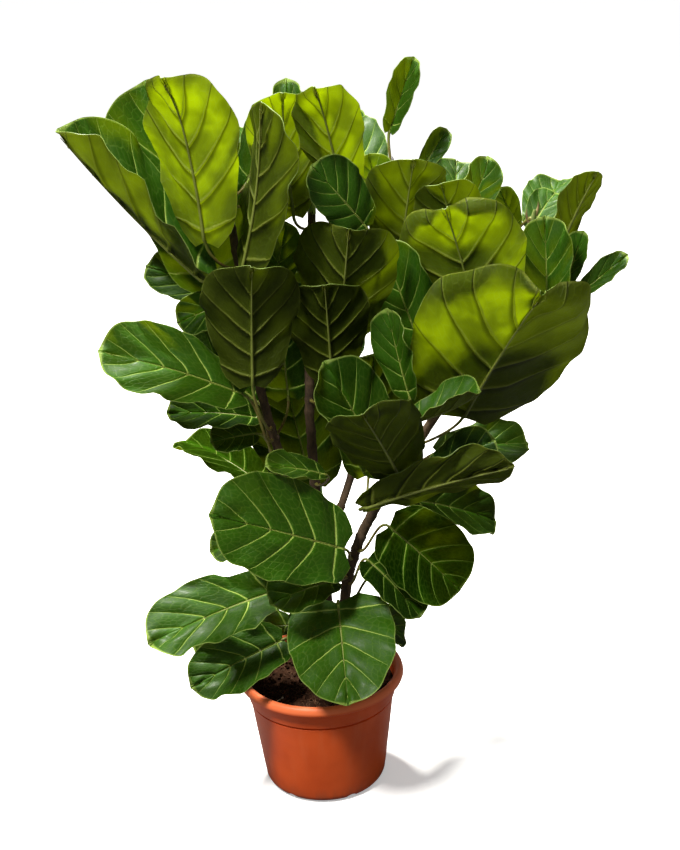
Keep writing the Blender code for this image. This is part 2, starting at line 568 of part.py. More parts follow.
def blade(leaf, frame, start, across):
    """Points of the blade's middle surface for arrays start (0..1) and across (-1..1)."""
    _, base, tip, normal = frame
    length = np.linalg.norm(tip - base)
    chord = (tip - base) / length
    side = np.cross(normal, chord)
    chance = random.Random(round(1000 * leaf.height) + 37 * len(leaf.stem))
    phases = (chance.uniform(0, 6.28), chance.uniform(0, 6.28))
    ripple = 0.012 + 0.010 * chance.random()
    along, half = outline(leaf, start)
    size = np.abs(across)
    place = start + (along - start) * size ** 1.6
    reach = half * size * leaf.width * length / 2
    fold = math.radians(leaf.fold)
    bend = math.radians(leaf.cup) / (leaf.width * length / 2) + 0.01
    level = (np.sin(fold + bend * reach) - np.sin(fold)) / bend
    rise = (np.cos(fold) - np.cos(fold + bend * reach)) / bend
    rise = rise + length * leaf.arch * 4 * place * (1 - place)
    rise = rise - length * leaf.curl * np.maximum(0.0, (place - 0.65) / 0.35) ** 2
    phase = np.where(across < 0, phases[0], phases[1])
    rise = rise + length * ripple * half * size ** 2.5 * np.sin(2 * math.pi * 2.4 * start + phase)
    level = level * np.sign(across)
    twist = math.radians(leaf.twist) * (place - 0.4)
    level, rise = level * np.cos(twist) - rise * np.sin(twist), level * np.sin(twist) + rise * np.cos(twist)
    return (base + (place * length)[..., None] * chord + level[..., None] * side + rise[..., None] * normal)


def blade_normals(leaf, frame, start, across):
    """Unit normals of the blade's middle surface, on its upper side."""
    step = 0.01
    ahead = blade(leaf, frame, np.minimum(start + step, 1.0), across)
    behind = blade(leaf, frame, np.maximum(start - step, 0.0), across)
    right = blade(leaf, frame, start, np.minimum(across + step, 1.0))
    left = blade(leaf, frame, start, np.maximum(across - step, -1.0))
    return unit(np.cross(ahead - behind, right - left))


def stalk(leaf, frame, fused):
    """Centres, directions and radii of the stalk's rings, from the stem to the blade.

    A fused stalk starts on the axis of its stem, and any other just off the stem's bark.
    """
    centre, base, tip, normal = frame
    slope = axis_slope(leaf.stem, leaf.height)
    out = base - centre
    out = unit(out - slope * np.dot(out, slope))
    start = centre
    if not fused:
        start = centre + out * (bark_distance(leaf.stem, centre, out, STALK_FLARE * STALK_RADIUS) + GAP)
    chord = unit(tip - base)
    span = np.linalg.norm(base - start)
    first = start + out * span * 0.35
    last = base - chord * span * 0.30 - normal * 0.002
    rings = []
    for part in STALK_PARTS:
        rest = 1 - part
        early = rest ** 3 * start + 3 * rest ** 2 * part * first
        late = 3 * rest * part ** 2 * last + part ** 3 * base
        heading = rest ** 2 * (first - start) + 2 * rest * part * (last - first) + part ** 2 * (base - last)
        rings.append((early + late, unit(heading), STALK_RADIUS * (STALK_FLARE - 0.45 * part)))
    return rings


def leaf_faces(rings):
    """Triangles of a leaf with a number of rings; its two sides are split alike."""
    faces = []
    for row in range(rings - 1):
        a, b = RING * row, RING * (row + 1)
        for i in range(RING):
            j = (i + 1) % RING
            if i in SLANTED:
                faces += [(a + i, a + j, b + i), (a + j, b + j, b + i)]
            else:
                faces += [(a + i, a + j, b + j), (a + i, b + j, b + i)]
    last = RING * (rings - 1)
    for i in range(RING // 2 - 1):
        first_cap = (RING - 1 - i, RING - 2 - i, i + 1, i)
        last_cap = (last + i, last + i + 1, last + RING - 2 - i, last + RING - 1 - i)
        for quad in (first_cap, last_cap):
            faces += [quad[:3], (quad[0], quad[2], quad[3])]
    return faces


def leaf_points(leaf, frame, thickness, fused=False):
    """Points of a leaf, ring by ring from its root to its tip."""
    length = np.linalg.norm(frame[2] - frame[1])
    rows = []
    for place, heading, radius in stalk(leaf, frame, fused):
        side = np.cross(frame[3], unit(frame[2] - frame[1]))
        side = unit(side - heading * np.dot(side, heading))
        up = np.cross(heading, side)
        for angle in RING_ANGLES:
            turned = math.radians(angle)
            rows.append(place - radius * (math.cos(turned) * -side - math.sin(turned) * up))
    starts = LARGE_STATIONS if length >= LARGE_LEAF else SMALL_STATIONS
    across = np.array(ACROSS)
    for start in starts:
        where = np.full(len(ACROSS), start)
        middle = blade(leaf, frame, where, across)
        normals = blade_normals(leaf, frame, where, across)
        rib = MIDRIB_DEPTH * (1 - start) * np.maximum(0.0, 1 - np.abs(across) * 2)
        rows += list(middle + normals * thickness / 2)
        rows += list((middle - normals * (thickness / 2 + rib)[:, None])[::-1])
    return rows


def steps():
    """Small turns for settling a leaf, in growing size: (swing, lift, roll, reach)."""
    yield (0.0, 0.0, 0.0, 1.0)
    for number in range(1, 90):
        size = math.radians(2.2) * math.sqrt(number)
        angle = 2.4 * number
        roll = math.radians(3.5) * math.sqrt(number) * math.sin(1.7 * number)
        reach = 1.0 - 0.0016 * number * (number % 3)
        yield (size * math.cos(angle), size * math.sin(angle), roll, reach)


class Canopy:
    """What has been placed so far, and whether a new shape would touch it."""

    def __init__(self):
        self.shapes = {}
        self.tree = None

    def add(self, name, points, faces):
        """Keep a placed shape."""
        self.shapes[name] = ([tuple(p) for p in points], [tuple(face) for face in faces])

    def add_body(self, body):
        """Keep the mesh of an object."""
        self.add(body.name, [v.co for v in body.data.vertices], [f.vertices for f in body.data.polygons])

    def prepare(self, without=None):
        """Gather all shapes, but for one, for the tests that follow."""
        points, faces = [], []
        for name, (some_points, some_faces) in self.shapes.items():
            if name != without:
                first = len(points)
                points += some_points
                faces += [tuple(first + i for i in face) for face in some_faces]
        self.tree = BVHTree.FromPolygons(points, faces)

    def crossings(self, points, faces):
        """Count the places where a shape would cross what is there."""
        tree = BVHTree.FromPolygons([tuple(p) for p in points], faces)
        return len(self.tree.overlap(tree))


def settle(canopy, leaves, pivot=None, fused=False):
    """Return the frames of some leaves after the smallest turn that frees them of what is there."""
    fewest = None
    chosen = None
    for change in steps():
        frames = [leaf_frame(leaf, change, pivot) for leaf in leaves]
        count = 0
        for leaf, frame in zip(leaves, frames):
            roomy = leaf_points(leaf, frame, BLADE_THICKNESS + 2 * CLEARANCE, fused)
            count += canopy.crossings(roomy, leaf_faces(len(roomy) // RING))
        if fewest is None or count < fewest:
            fewest, chosen = count, frames
        if count == 0:
            break
    return chosen


def make_leaves(canopy):
    """Place each single leaf on its stem."""
    counts = {}
    for leaf in LEAVES:
        counts[leaf.stem] = counts.get(leaf.stem, 0) + 1
        name = f"leaf_{leaf.stem}_{counts[leaf.stem]}"
        canopy.prepare()
        frames = settle(canopy, [leaf])
        points = leaf_points(leaf, frames[0], BLADE_THICKNESS)
        faces = leaf_faces(len(points) // RING)
        canopy.add(name, points, faces)
        add_object(name, points, faces, "leaf_green")


def make_shoot(stem, label):
    """Make the soft green end of a stem."""
    row = STEMS[stem]
    return stem_tube(stem, row.woody_top + GAP, row.axis[-1][2], label, "shoot_green", 0.35)


def make_tips(canopy):
    """Place each shoot tip, its leaves fused to the soft shoot, as one body."""
    for stem, leaves in TIP_LEAVES.items():
        name = f"tip_{stem}"
        canopy.prepare(without=name)
        pivot = axis_point(stem, STEMS[stem].woody_top)
        frames = settle(canopy, leaves, pivot, fused=True)
        body = make_shoot(stem, name)
        parts = []
        for number, (leaf, frame) in enumerate(zip(leaves, frames)):
            points = leaf_points(leaf, frame, BLADE_THICKNESS, fused=True)
            faces = leaf_faces(len(points) // RING)
            part_name = f"{name}_part_{number}"
            canopy.add(part_name, points, faces)
            parts.append(add_object(part_name, points, faces, "shoot_green"))
        fuse(body, parts, "MANIFOLD")


def main():
    """Clear the scene and make the plant in its pot."""
    for old in list(bpy.data.objects):
        bpy.data.objects.remove(old, do_unlink=True)
    canopy = Canopy()
    for body in [make_pot(), make_soil(), *make_stems()]:
        canopy.add_body(body)
    for stem in STEMS:
        shoot = make_shoot(stem, f"tip_{stem}")
        canopy.add_body(shoot)
        bpy.data.objects.remove(shoot, do_unlink=True)
    make_leaves(canopy)
    make_tips(canopy)


main()
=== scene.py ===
"""Looks of a fiddle leaf fig in a nursery pot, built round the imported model.

Metres, +Z up. The origin is the centre of the pot's flat underside and -Y is the front.
"""
from __future__ import annotations

import json
import logging
import math
import random
from dataclasses import dataclass, field
from enum import Enum
from typing import Iterator, Sequence

import bpy
import numpy as np
from mathutils import Matrix, Vector, noise

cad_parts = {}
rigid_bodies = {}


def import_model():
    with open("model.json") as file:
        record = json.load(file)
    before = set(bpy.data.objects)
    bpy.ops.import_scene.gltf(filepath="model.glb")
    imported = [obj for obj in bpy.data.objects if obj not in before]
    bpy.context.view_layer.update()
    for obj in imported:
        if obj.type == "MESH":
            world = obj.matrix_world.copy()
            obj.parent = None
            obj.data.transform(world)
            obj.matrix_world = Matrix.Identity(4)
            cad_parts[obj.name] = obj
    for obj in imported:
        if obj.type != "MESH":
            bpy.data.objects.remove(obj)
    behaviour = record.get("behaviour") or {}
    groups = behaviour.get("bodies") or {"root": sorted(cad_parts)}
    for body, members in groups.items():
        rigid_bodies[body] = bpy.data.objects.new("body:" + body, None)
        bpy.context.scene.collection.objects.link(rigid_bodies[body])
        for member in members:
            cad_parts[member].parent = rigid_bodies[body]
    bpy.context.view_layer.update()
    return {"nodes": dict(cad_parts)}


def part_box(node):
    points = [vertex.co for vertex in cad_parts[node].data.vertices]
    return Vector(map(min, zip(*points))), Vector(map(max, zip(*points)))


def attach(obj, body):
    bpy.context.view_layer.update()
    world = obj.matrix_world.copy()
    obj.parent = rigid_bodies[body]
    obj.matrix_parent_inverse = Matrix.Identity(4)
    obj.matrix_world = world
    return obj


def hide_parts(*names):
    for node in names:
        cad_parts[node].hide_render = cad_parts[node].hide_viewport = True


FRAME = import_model()
LOG = logging.getLogger("potted_fig")

Point = tuple[float, float, float]
TAU = 2 * math.pi


# ---------------------------------------------------------------- growth plan
def unit(vector: np.ndarray) -> np.ndarray:
    """Return a vector, or each row of an array, at length one."""
    vector = np.asarray(vector, float)
    return vector / np.linalg.norm(vector, axis=-1, keepdims=True)


def turn(axis: Sequence[float], angle: float) -> np.ndarray:
    """Return the 3 x 3 matrix that turns by an angle in radians about an axis."""
    return np.array(Matrix.Rotation(angle, 3, Vector(axis)))


def through(knots: Sequence[float], values: Sequence, where: np.ndarray) -> np.ndarray:
    """Read a smooth curve that passes through values at rising knots.

    Args:
        knots: Rising positions.
        values: A number or a row of numbers for each knot.
        where: Positions to read.

    Returns:
        The value, or row of values, at each position.
    """
    knots = np.asarray(knots, float)
    values = np.asarray(values, float)
    steps = np.diff(knots)
    rises = np.diff(values, axis=0) / steps.reshape((-1,) + (1,) * (values.ndim - 1))
    slopes = np.concatenate([rises[:1], (rises[:-1] + rises[1:]) / 2, rises[-1:]])
    where = np.clip(np.asarray(where, float), knots[0], knots[-1])
    span = np.clip(np.searchsorted(knots, where, side="right") - 1, 0, len(steps) - 1)
    width = steps[span]
    part = (where - knots[span]) / width
    if values.ndim > 1:
        width, part = width[..., None], part[..., None]
    start = (1 + 2 * part) * (1 - part) ** 2 * values[span] + part * (1 - part) ** 2 * width * slopes[span]
    end = part ** 2 * (3 - 2 * part) * values[span + 1] - part ** 2 * (1 - part) * width * slopes[span + 1]
    return start + end


@dataclass(frozen=True)
class StemPath:
    """Centre line of a stem and its thickness."""

    axis: tuple[Point, ...]
    foot_radius: float
    top_radius: float
    woody_top: float
    parent: str | None = None

    def point(self, height: float) -> np.ndarray:
        """Centre of the stem at a height."""
        axis = np.array(self.axis)
        return through(axis[:, 2], axis, height)

    def slope(self, height: float) -> np.ndarray:
        """Direction in which the stem grows at a height."""
        return unit(self.point(height + 0.004) - self.point(height - 0.004))

    def radius(self, height: float) -> float:
        """Radius of the stem at a height; a foot in the soil flares a little.

        Args:
            height: Height above the floor.

        Returns:
            Radius in metres.
        """
        low, high = self.axis[0][2], self.axis[-1][2]
        share = (height - low) / (high - low)
        radius = self.foot_radius + (self.top_radius - self.foot_radius) * share
        if self.parent is None:
            radius += 0.0025 * max(0.0, 1 - (height - low) / 0.12) ** 2
        return radius


STEMS = {
    "left": StemPath(
        ((-0.026, 0.012, 0.120), (-0.020, 0.008, 0.200), (-0.004, 0.004, 0.330),
         (-0.014, 0.002, 0.460), (-0.048, -0.004, 0.580), (-0.072, -0.012, 0.700),
         (-0.084, -0.008, 0.830), (-0.098, 0.000, 0.950), (-0.102, 0.004, 1.010)),
        0.0090, 0.0058, 0.930),
    "centre": StemPath(
        ((0.014, 0.044, 0.120), (0.016, 0.044, 0.220), (0.014, 0.046, 0.360), (0.006, 0.050, 0.500),
         (0.004, 0.052, 0.640), (0.014, 0.054, 0.800), (0.022, 0.054, 0.940), (0.020, 0.052, 1.010)),
        0.0095, 0.0060, 0.935),
    "right": StemPath(
        ((0.034, -0.012, 0.120), (0.038, -0.010, 0.240), (0.054, -0.004, 0.370), (0.098, 0.004, 0.470),
         (0.172, 0.020, 0.575), (0.246, 0.052, 0.672), (0.314, 0.086, 0.772), (0.352, 0.106, 0.850),
         (0.366, 0.112, 0.910)),
        0.0100, 0.0058, 0.840),
    "north": StemPath(
        ((0.014, 0.046, 0.360), (0.046, 0.064, 0.450), (0.106, 0.100, 0.610), (0.134, 0.122, 0.780),
         (0.142, 0.134, 0.900), (0.144, 0.140, 0.985)),
        0.0070, 0.0052, 0.905, "centre"),
    "front": StemPath(
        ((0.078, 0.000, 0.430), (0.100, -0.028, 0.490), (0.120, -0.066, 0.560), (0.130, -0.092, 0.620),
         (0.134, -0.100, 0.670)),
        0.0066, 0.0050, 0.615, "right"),
    "middle": StemPath(
        ((0.188, 0.026, 0.595), (0.208, 0.032, 0.660), (0.222, 0.044, 0.760), (0.228, 0.052, 0.840),
         (0.232, 0.056, 0.890)),
        0.0062, 0.0050, 0.830, "right"),
}


@dataclass(frozen=True)
class LeafPlan:
    """Where a leaf grows and the form of its blade.

    width, arch, curl and notch are fractions of the blade's length; fold, cup and twist are
    degrees; broad mixes the outline from slim (0) to round at the stalk (1).
    """

    stem: str
    height: float
    base: Point
    tip: Point
    face: tuple[float, float] = (270, 45)
    width: float = 0.64
    arch: float = 0.04
    curl: float = 0.0
    fold: float = 8
    cup: float = 14
    twist: float = 0
    notch: float = 0.0
    broad: float = 0.3


LEAVES = (
    # the large leaves of the front, which are placed first
    LeafPlan("front", 0.600, (0.229, -0.070, 0.641), (0.316, -0.220, 0.861), (92, 15), 1.0, 0.03,
         notch=0.1, broad=0.5),
    LeafPlan("left", 0.870, (-0.132, -0.050, 0.918), (-0.160, -0.100, 1.158), (64, 2), 0.62, 0.04, 0.08, 8),
    LeafPlan("left", 0.620, (-0.078, -0.070, 0.708), (-0.066, -0.120, 0.900), (95, 5), 0.76, 0.05, 0.05),
    LeafPlan("left", 0.600, (-0.094, -0.050, 0.688), (-0.292, -0.100, 0.780), (265, 52), 0.58, 0.05, 0, 6),
    LeafPlan("right", 0.390, (0.046, -0.050, 0.428), (-0.152, -0.130, 0.532), (268, 42), 0.74, 0.03, 0, 5,
         broad=0.6),
    LeafPlan("left", 0.340, (-0.060, -0.050, 0.364), (-0.256, -0.150, 0.336), (262, 60), 0.58, 0.04,
             broad=0.5),
    LeafPlan("left", 0.260, (-0.058, -0.050, 0.276), (-0.202, -0.120, 0.240), (278, 52), 0.66, 0.03,
             broad=0.6),
    LeafPlan("right", 0.310, (0.032, -0.050, 0.336), (0.038, -0.190, 0.236), (270, 45), 0.98, 0.02, 0, 6,
         broad=1.0),
    LeafPlan("front", 0.520, (0.132, -0.100, 0.562), (0.074, -0.220, 0.708), (95, 35), 0.74, 0.03),
    LeafPlan("front", 0.500, (0.076, -0.100, 0.518), (0.290, -0.170, 0.600), (92, 32), 0.46, 0.02),
    LeafPlan("middle", 0.690, (0.266, -0.020, 0.744), (0.210, -0.050, 0.954), (78, 0), 0.92, 0.04, 0.06, 4),
    LeafPlan("left", 0.800, (-0.138, -0.030, 0.856), (-0.322, -0.060, 1.086), (345, 42), 0.56, -0.02,
             0, 38, 10),
    LeafPlan("left", 0.840, (-0.080, -0.060, 0.878), (-0.040, -0.094, 1.114), (28, 0), 0.58, 0.04),
    LeafPlan("left", 0.790, (-0.126, 0.020, 0.838), (-0.206, 0.050, 1.136), (285, 15), 0.66, 0.03),
    LeafPlan("right", 0.405, (0.116, -0.050, 0.462), (0.222, -0.070, 0.356), (288, 22), 0.96, 0.05,
             broad=0.7),
    # centre stem, front side
    LeafPlan("centre", 0.900, (0.070, -0.010, 0.954), (0.034, -0.050, 1.130), (76, 2), 0.56, 0.04, 0.06),
    LeafPlan("centre", 0.850, (0.098, -0.030, 0.924), (0.022, -0.070, 1.022), (282, 25), 0.72, 0.04),
    LeafPlan("centre", 0.730, (0.056, -0.030, 0.766), (0.070, -0.080, 0.954), (92, 8), 0.90, 0.02, 0, 18),
    LeafPlan("centre", 0.640, (0.024, -0.040, 0.694), (0.010, -0.090, 0.852), (92, 5), 0.80, 0.04),
    LeafPlan("centre", 0.500, (0.016, -0.020, 0.535), (-0.080, -0.060, 0.560), (268, 60), 0.60, 0.04),
    LeafPlan("centre", 0.910, (-0.008, 0.000, 0.930), (-0.032, -0.040, 1.110), (88, 0), 0.62, 0.05, 0.12),
    LeafPlan("middle", 0.650, (0.190, 0.000, 0.724), (0.156, 0.010, 0.910), (258, 4), 0.60, 0.03, 0, 14),
    LeafPlan("north", 0.790, (0.152, 0.060, 0.850), (0.174, 0.030, 1.008), (96, 5), 0.84, 0.04),
    LeafPlan("front", 0.540, (0.112, -0.060, 0.560), (0.042, -0.080, 0.746), (290, 12), 0.60, 0.04, 0, 14),
    # left stem, darker leaves behind and below
    LeafPlan("left", 0.720, (-0.114, 0.030, 0.812), (-0.230, 0.050, 0.866), (268, 40), 0.62, 0.05),
    LeafPlan("left", 0.700, (-0.106, 0.010, 0.820), (-0.200, 0.000, 0.778), (268, 30), 0.66, 0.06),
    LeafPlan("left", 0.560, (-0.076, 0.030, 0.648), (-0.186, 0.070, 0.734), (268, 40), 0.68, 0.05),
    LeafPlan("left", 0.550, (-0.068, -0.010, 0.640), (-0.202, -0.030, 0.672), (268, 68), 0.66, 0.05),
    LeafPlan("left", 0.520, (-0.070, -0.020, 0.620), (-0.138, -0.050, 0.626), (275, 50), 0.80, 0.05),
    LeafPlan("left", 0.400, (-0.050, 0.000, 0.436), (-0.164, -0.020, 0.422), (268, 50), 0.60, 0.05),
    LeafPlan("left", 0.240, (-0.042, 0.010, 0.268), (-0.208, 0.000, 0.240), (268, 70), 0.60, 0.05),
    LeafPlan("left", 0.780, (-0.040, 0.010, 0.815), (-0.016, 0.000, 0.932), (250, 10), 0.66, 0.05),
    # right side
    LeafPlan("right", 0.360, (0.030, -0.060, 0.380), (-0.072, -0.120, 0.376), (268, 60), 0.74, 0.05),
    LeafPlan("right", 0.350, (0.076, -0.050, 0.414), (0.152, -0.120, 0.352), (285, 50), 0.76, 0.05,
             broad=0.7),
    LeafPlan("right", 0.270, (0.064, -0.020, 0.306), (0.140, 0.030, 0.226), (300, 50), 0.60, 0.05),
    LeafPlan("right", 0.500, (0.160, 0.030, 0.470), (0.298, 0.070, 0.408), (290, 50), 0.62, 0.05),
    LeafPlan("right", 0.540, (0.200, 0.030, 0.548), (0.348, 0.050, 0.548), (268, 60), 0.62, 0.05),
    LeafPlan("right", 0.560, (0.184, -0.020, 0.532), (0.286, -0.010, 0.580), (268, 40), 0.70, 0.05),
    LeafPlan("right", 0.700, (0.372, 0.030, 0.760), (0.368, 0.040, 0.914), (262, 15), 0.56, 0.04, 0, 12),
    # the heart of the plant
    LeafPlan("centre", 0.440, (0.000, 0.110, 0.470), (-0.040, 0.130, 0.680), (274, 12), 0.84, 0.05),
    LeafPlan("centre", 0.620, (0.035, 0.120, 0.650), (0.060, 0.130, 0.850), (266, 12), 0.80, 0.05),
    LeafPlan("left", 0.600, (-0.035, 0.075, 0.640), (-0.045, 0.090, 0.830), (270, 10), 0.74, 0.05),
    LeafPlan("right", 0.460, (0.100, 0.070, 0.500), (0.120, 0.100, 0.700), (266, 12), 0.80, 0.05),
    # the back
    LeafPlan("left", 0.470, (-0.070, 0.070, 0.500), (-0.190, 0.190, 0.550), (135, 70), 0.66, 0.06),
    LeafPlan("centre", 0.400, (-0.010, 0.110, 0.420), (-0.060, 0.280, 0.440), (100, 70), 0.66, 0.06),
    LeafPlan("north", 0.500, (0.120, 0.150, 0.540), (0.220, 0.290, 0.600), (50, 70), 0.66, 0.06),
    LeafPlan("north", 0.620, (0.070, 0.160, 0.670), (0.020, 0.280, 0.800), (110, 60), 0.66, 0.05),
    LeafPlan("right", 0.620, (0.260, 0.110, 0.640), (0.400, 0.210, 0.700), (40, 60), 0.66, 0.05),
    LeafPlan("right", 0.300, (0.090, 0.050, 0.330), (0.230, 0.150, 0.330), (35, 70), 0.66, 0.06),
)

TIP_LEAVES = {
    "left": (
        LeafPlan("left", 0.985, (-0.104, 0.002, 1.010), (-0.106, -0.010, 1.110), (95, 0), 0.40, 0.0, 0, 30),
        LeafPlan("left", 0.970, (-0.072, 0.020, 0.985), (-0.016, 0.070, 1.090), (280, 25), 0.60, 0.04),
        LeafPlan("left", 0.955, (-0.066, 0.040, 0.960), (-0.060, 0.180, 1.040), (100, 60), 0.66, 0.05),
    ),
    "centre": (
        LeafPlan("centre", 0.955, (-0.020, 0.068, 1.010), (-0.046, 0.070, 1.142), (275, 0), 0.46, 0.03,
                 0.10),
        LeafPlan("centre", 0.970, (0.002, 0.075, 1.015), (0.002, 0.105, 1.122), (262, 20), 0.60, 0.03),
        LeafPlan("centre", 0.950, (0.050, 0.090, 0.980), (0.110, 0.160, 1.070), (230, 40), 0.66, 0.04),
        LeafPlan("centre", 0.945, (0.000, 0.100, 0.960), (-0.060, 0.230, 1.010), (100, 70), 0.66, 0.06),
    ),
    "north": (
        LeafPlan("north", 0.970, (0.147, 0.138, 1.035), (0.186, 0.136, 1.144), (262, 5), 0.56, 0.0, 0,
                 42, 6),
        LeafPlan("north", 0.950, (0.195, 0.172, 0.965), (0.240, 0.190, 1.028), (290, 30), 0.50, 0.03),
        LeafPlan("north", 0.925, (0.130, 0.112, 0.915), (0.112, 0.105, 1.008), (275, 15), 0.72, 0.03),
        LeafPlan("north", 0.940, (0.130, 0.190, 0.950), (0.080, 0.290, 1.040), (290, 50), 0.66, 0.04),
    ),
    "right": (
        LeafPlan("right", 0.880, (0.400, 0.088, 0.850), (0.450, 0.060, 0.972), (122, -4), 0.56, 0.03),
        LeafPlan("right", 0.890, (0.366, 0.150, 0.870), (0.412, 0.185, 0.924), (262, 55), 0.76, 0.03, 0.1),
        LeafPlan("right", 0.870, (0.406, 0.072, 0.790), (0.432, 0.060, 0.884), (240, 20), 0.50, 0.02,
                 0, 20),
        LeafPlan("right", 0.860, (0.412, 0.056, 0.774), (0.500, 0.060, 0.844), (268, 40), 0.40, 0.02,
                 0, 28),
        LeafPlan("right", 0.895, (0.338, 0.120, 0.880), (0.312, 0.120, 0.945), (268, 20), 0.62, 0.03),
        LeafPlan("right", 0.880, (0.380, 0.170, 0.860), (0.440, 0.290, 0.920), (60, 70), 0.66, 0.05),
    ),
    "front": (
        LeafPlan("front", 0.640, (0.142, -0.130, 0.652), (0.234, -0.190, 0.682), (268, 48), 0.84,
                 -0.05, 0, 14,
             50),
        LeafPlan("front", 0.650, (0.150, -0.075, 0.680), (0.118, -0.040, 0.810), (255, 8), 0.50, 0.03,
                 0, 20),
    ),
    "middle": (
        LeafPlan("middle", 0.850, (0.240, 0.040, 0.858), (0.214, 0.020, 0.980), (80, 0), 0.86, 0.03, 0.06),
        LeafPlan("middle", 0.860, (0.244, 0.074, 0.900), (0.284, 0.070, 1.002), (285, 10), 0.60, 0.03,
                 0.12),
        LeafPlan("middle", 0.870, (0.240, 0.120, 0.900), (0.260, 0.230, 0.980), (290, 50), 0.66, 0.04),
    ),
}

SLIM = (
    (0.00, -0.02, 0.18), (0.09, 0.07, 0.42), (0.26, 0.27, 0.62), (0.44, 0.48, 0.85),
    (0.62, 0.68, 1.00), (0.79, 0.86, 0.94), (0.92, 0.96, 0.62), (1.00, 1.00, 0.03),
)
BROAD = (
    (0.00, -0.07, 0.40), (0.09, 0.02, 0.80), (0.26, 0.24, 0.98), (0.44, 0.45, 1.00),
    (0.62, 0.65, 0.92), (0.79, 0.83, 0.72), (0.92, 0.95, 0.42), (1.00, 1.00, 0.03),
)

# ---------------------------------------------------------------- blades
LARGE_LEAF = 0.20
LARGE_STATIONS = (0.0, 0.09, 0.26, 0.44, 0.62, 0.79, 0.92, 1.0)
SMALL_STATIONS = (0.0, 0.14, 0.38, 0.62, 0.85, 1.0)
SWEEP = 2.35                 # how strongly the side veins lean towards the tip
VEIN_OFFSET = 0.42           # place of the first side vein, in vein spacings
VEIN_ROWS = (0.0, 0.035, 0.085, 0.2, 0.34, 0.5, 0.66, 0.8, 0.915, 0.965)
COLUMNS = (0.0, 0.018, 0.05, 0.11, 0.19, 0.28, 0.38, 0.48, 0.58, 0.68, 0.77, 0.85, 0.91, 0.95,
           0.98, 1.0)


def changes() -> Iterator[tuple[float, float, float, float]]:
    """Small turns by which a leaf may have settled: swing, lift, roll and reach.

    Yields:
        Swing, lift and roll in radians and the reach as a share, likeliest first.
    """
    yield (0.0, 0.0, 0.0, 1.0)
    for number in range(1, 90):
        size = math.radians(2.2) * math.sqrt(number)
        angle = 2.4 * number
        roll = math.radians(3.5) * math.sqrt(number) * math.sin(1.7 * number)
        reach = 1.0 - 0.0016 * number * (number % 3)
        yield (size * math.cos(angle), size * math.sin(angle), roll, reach)


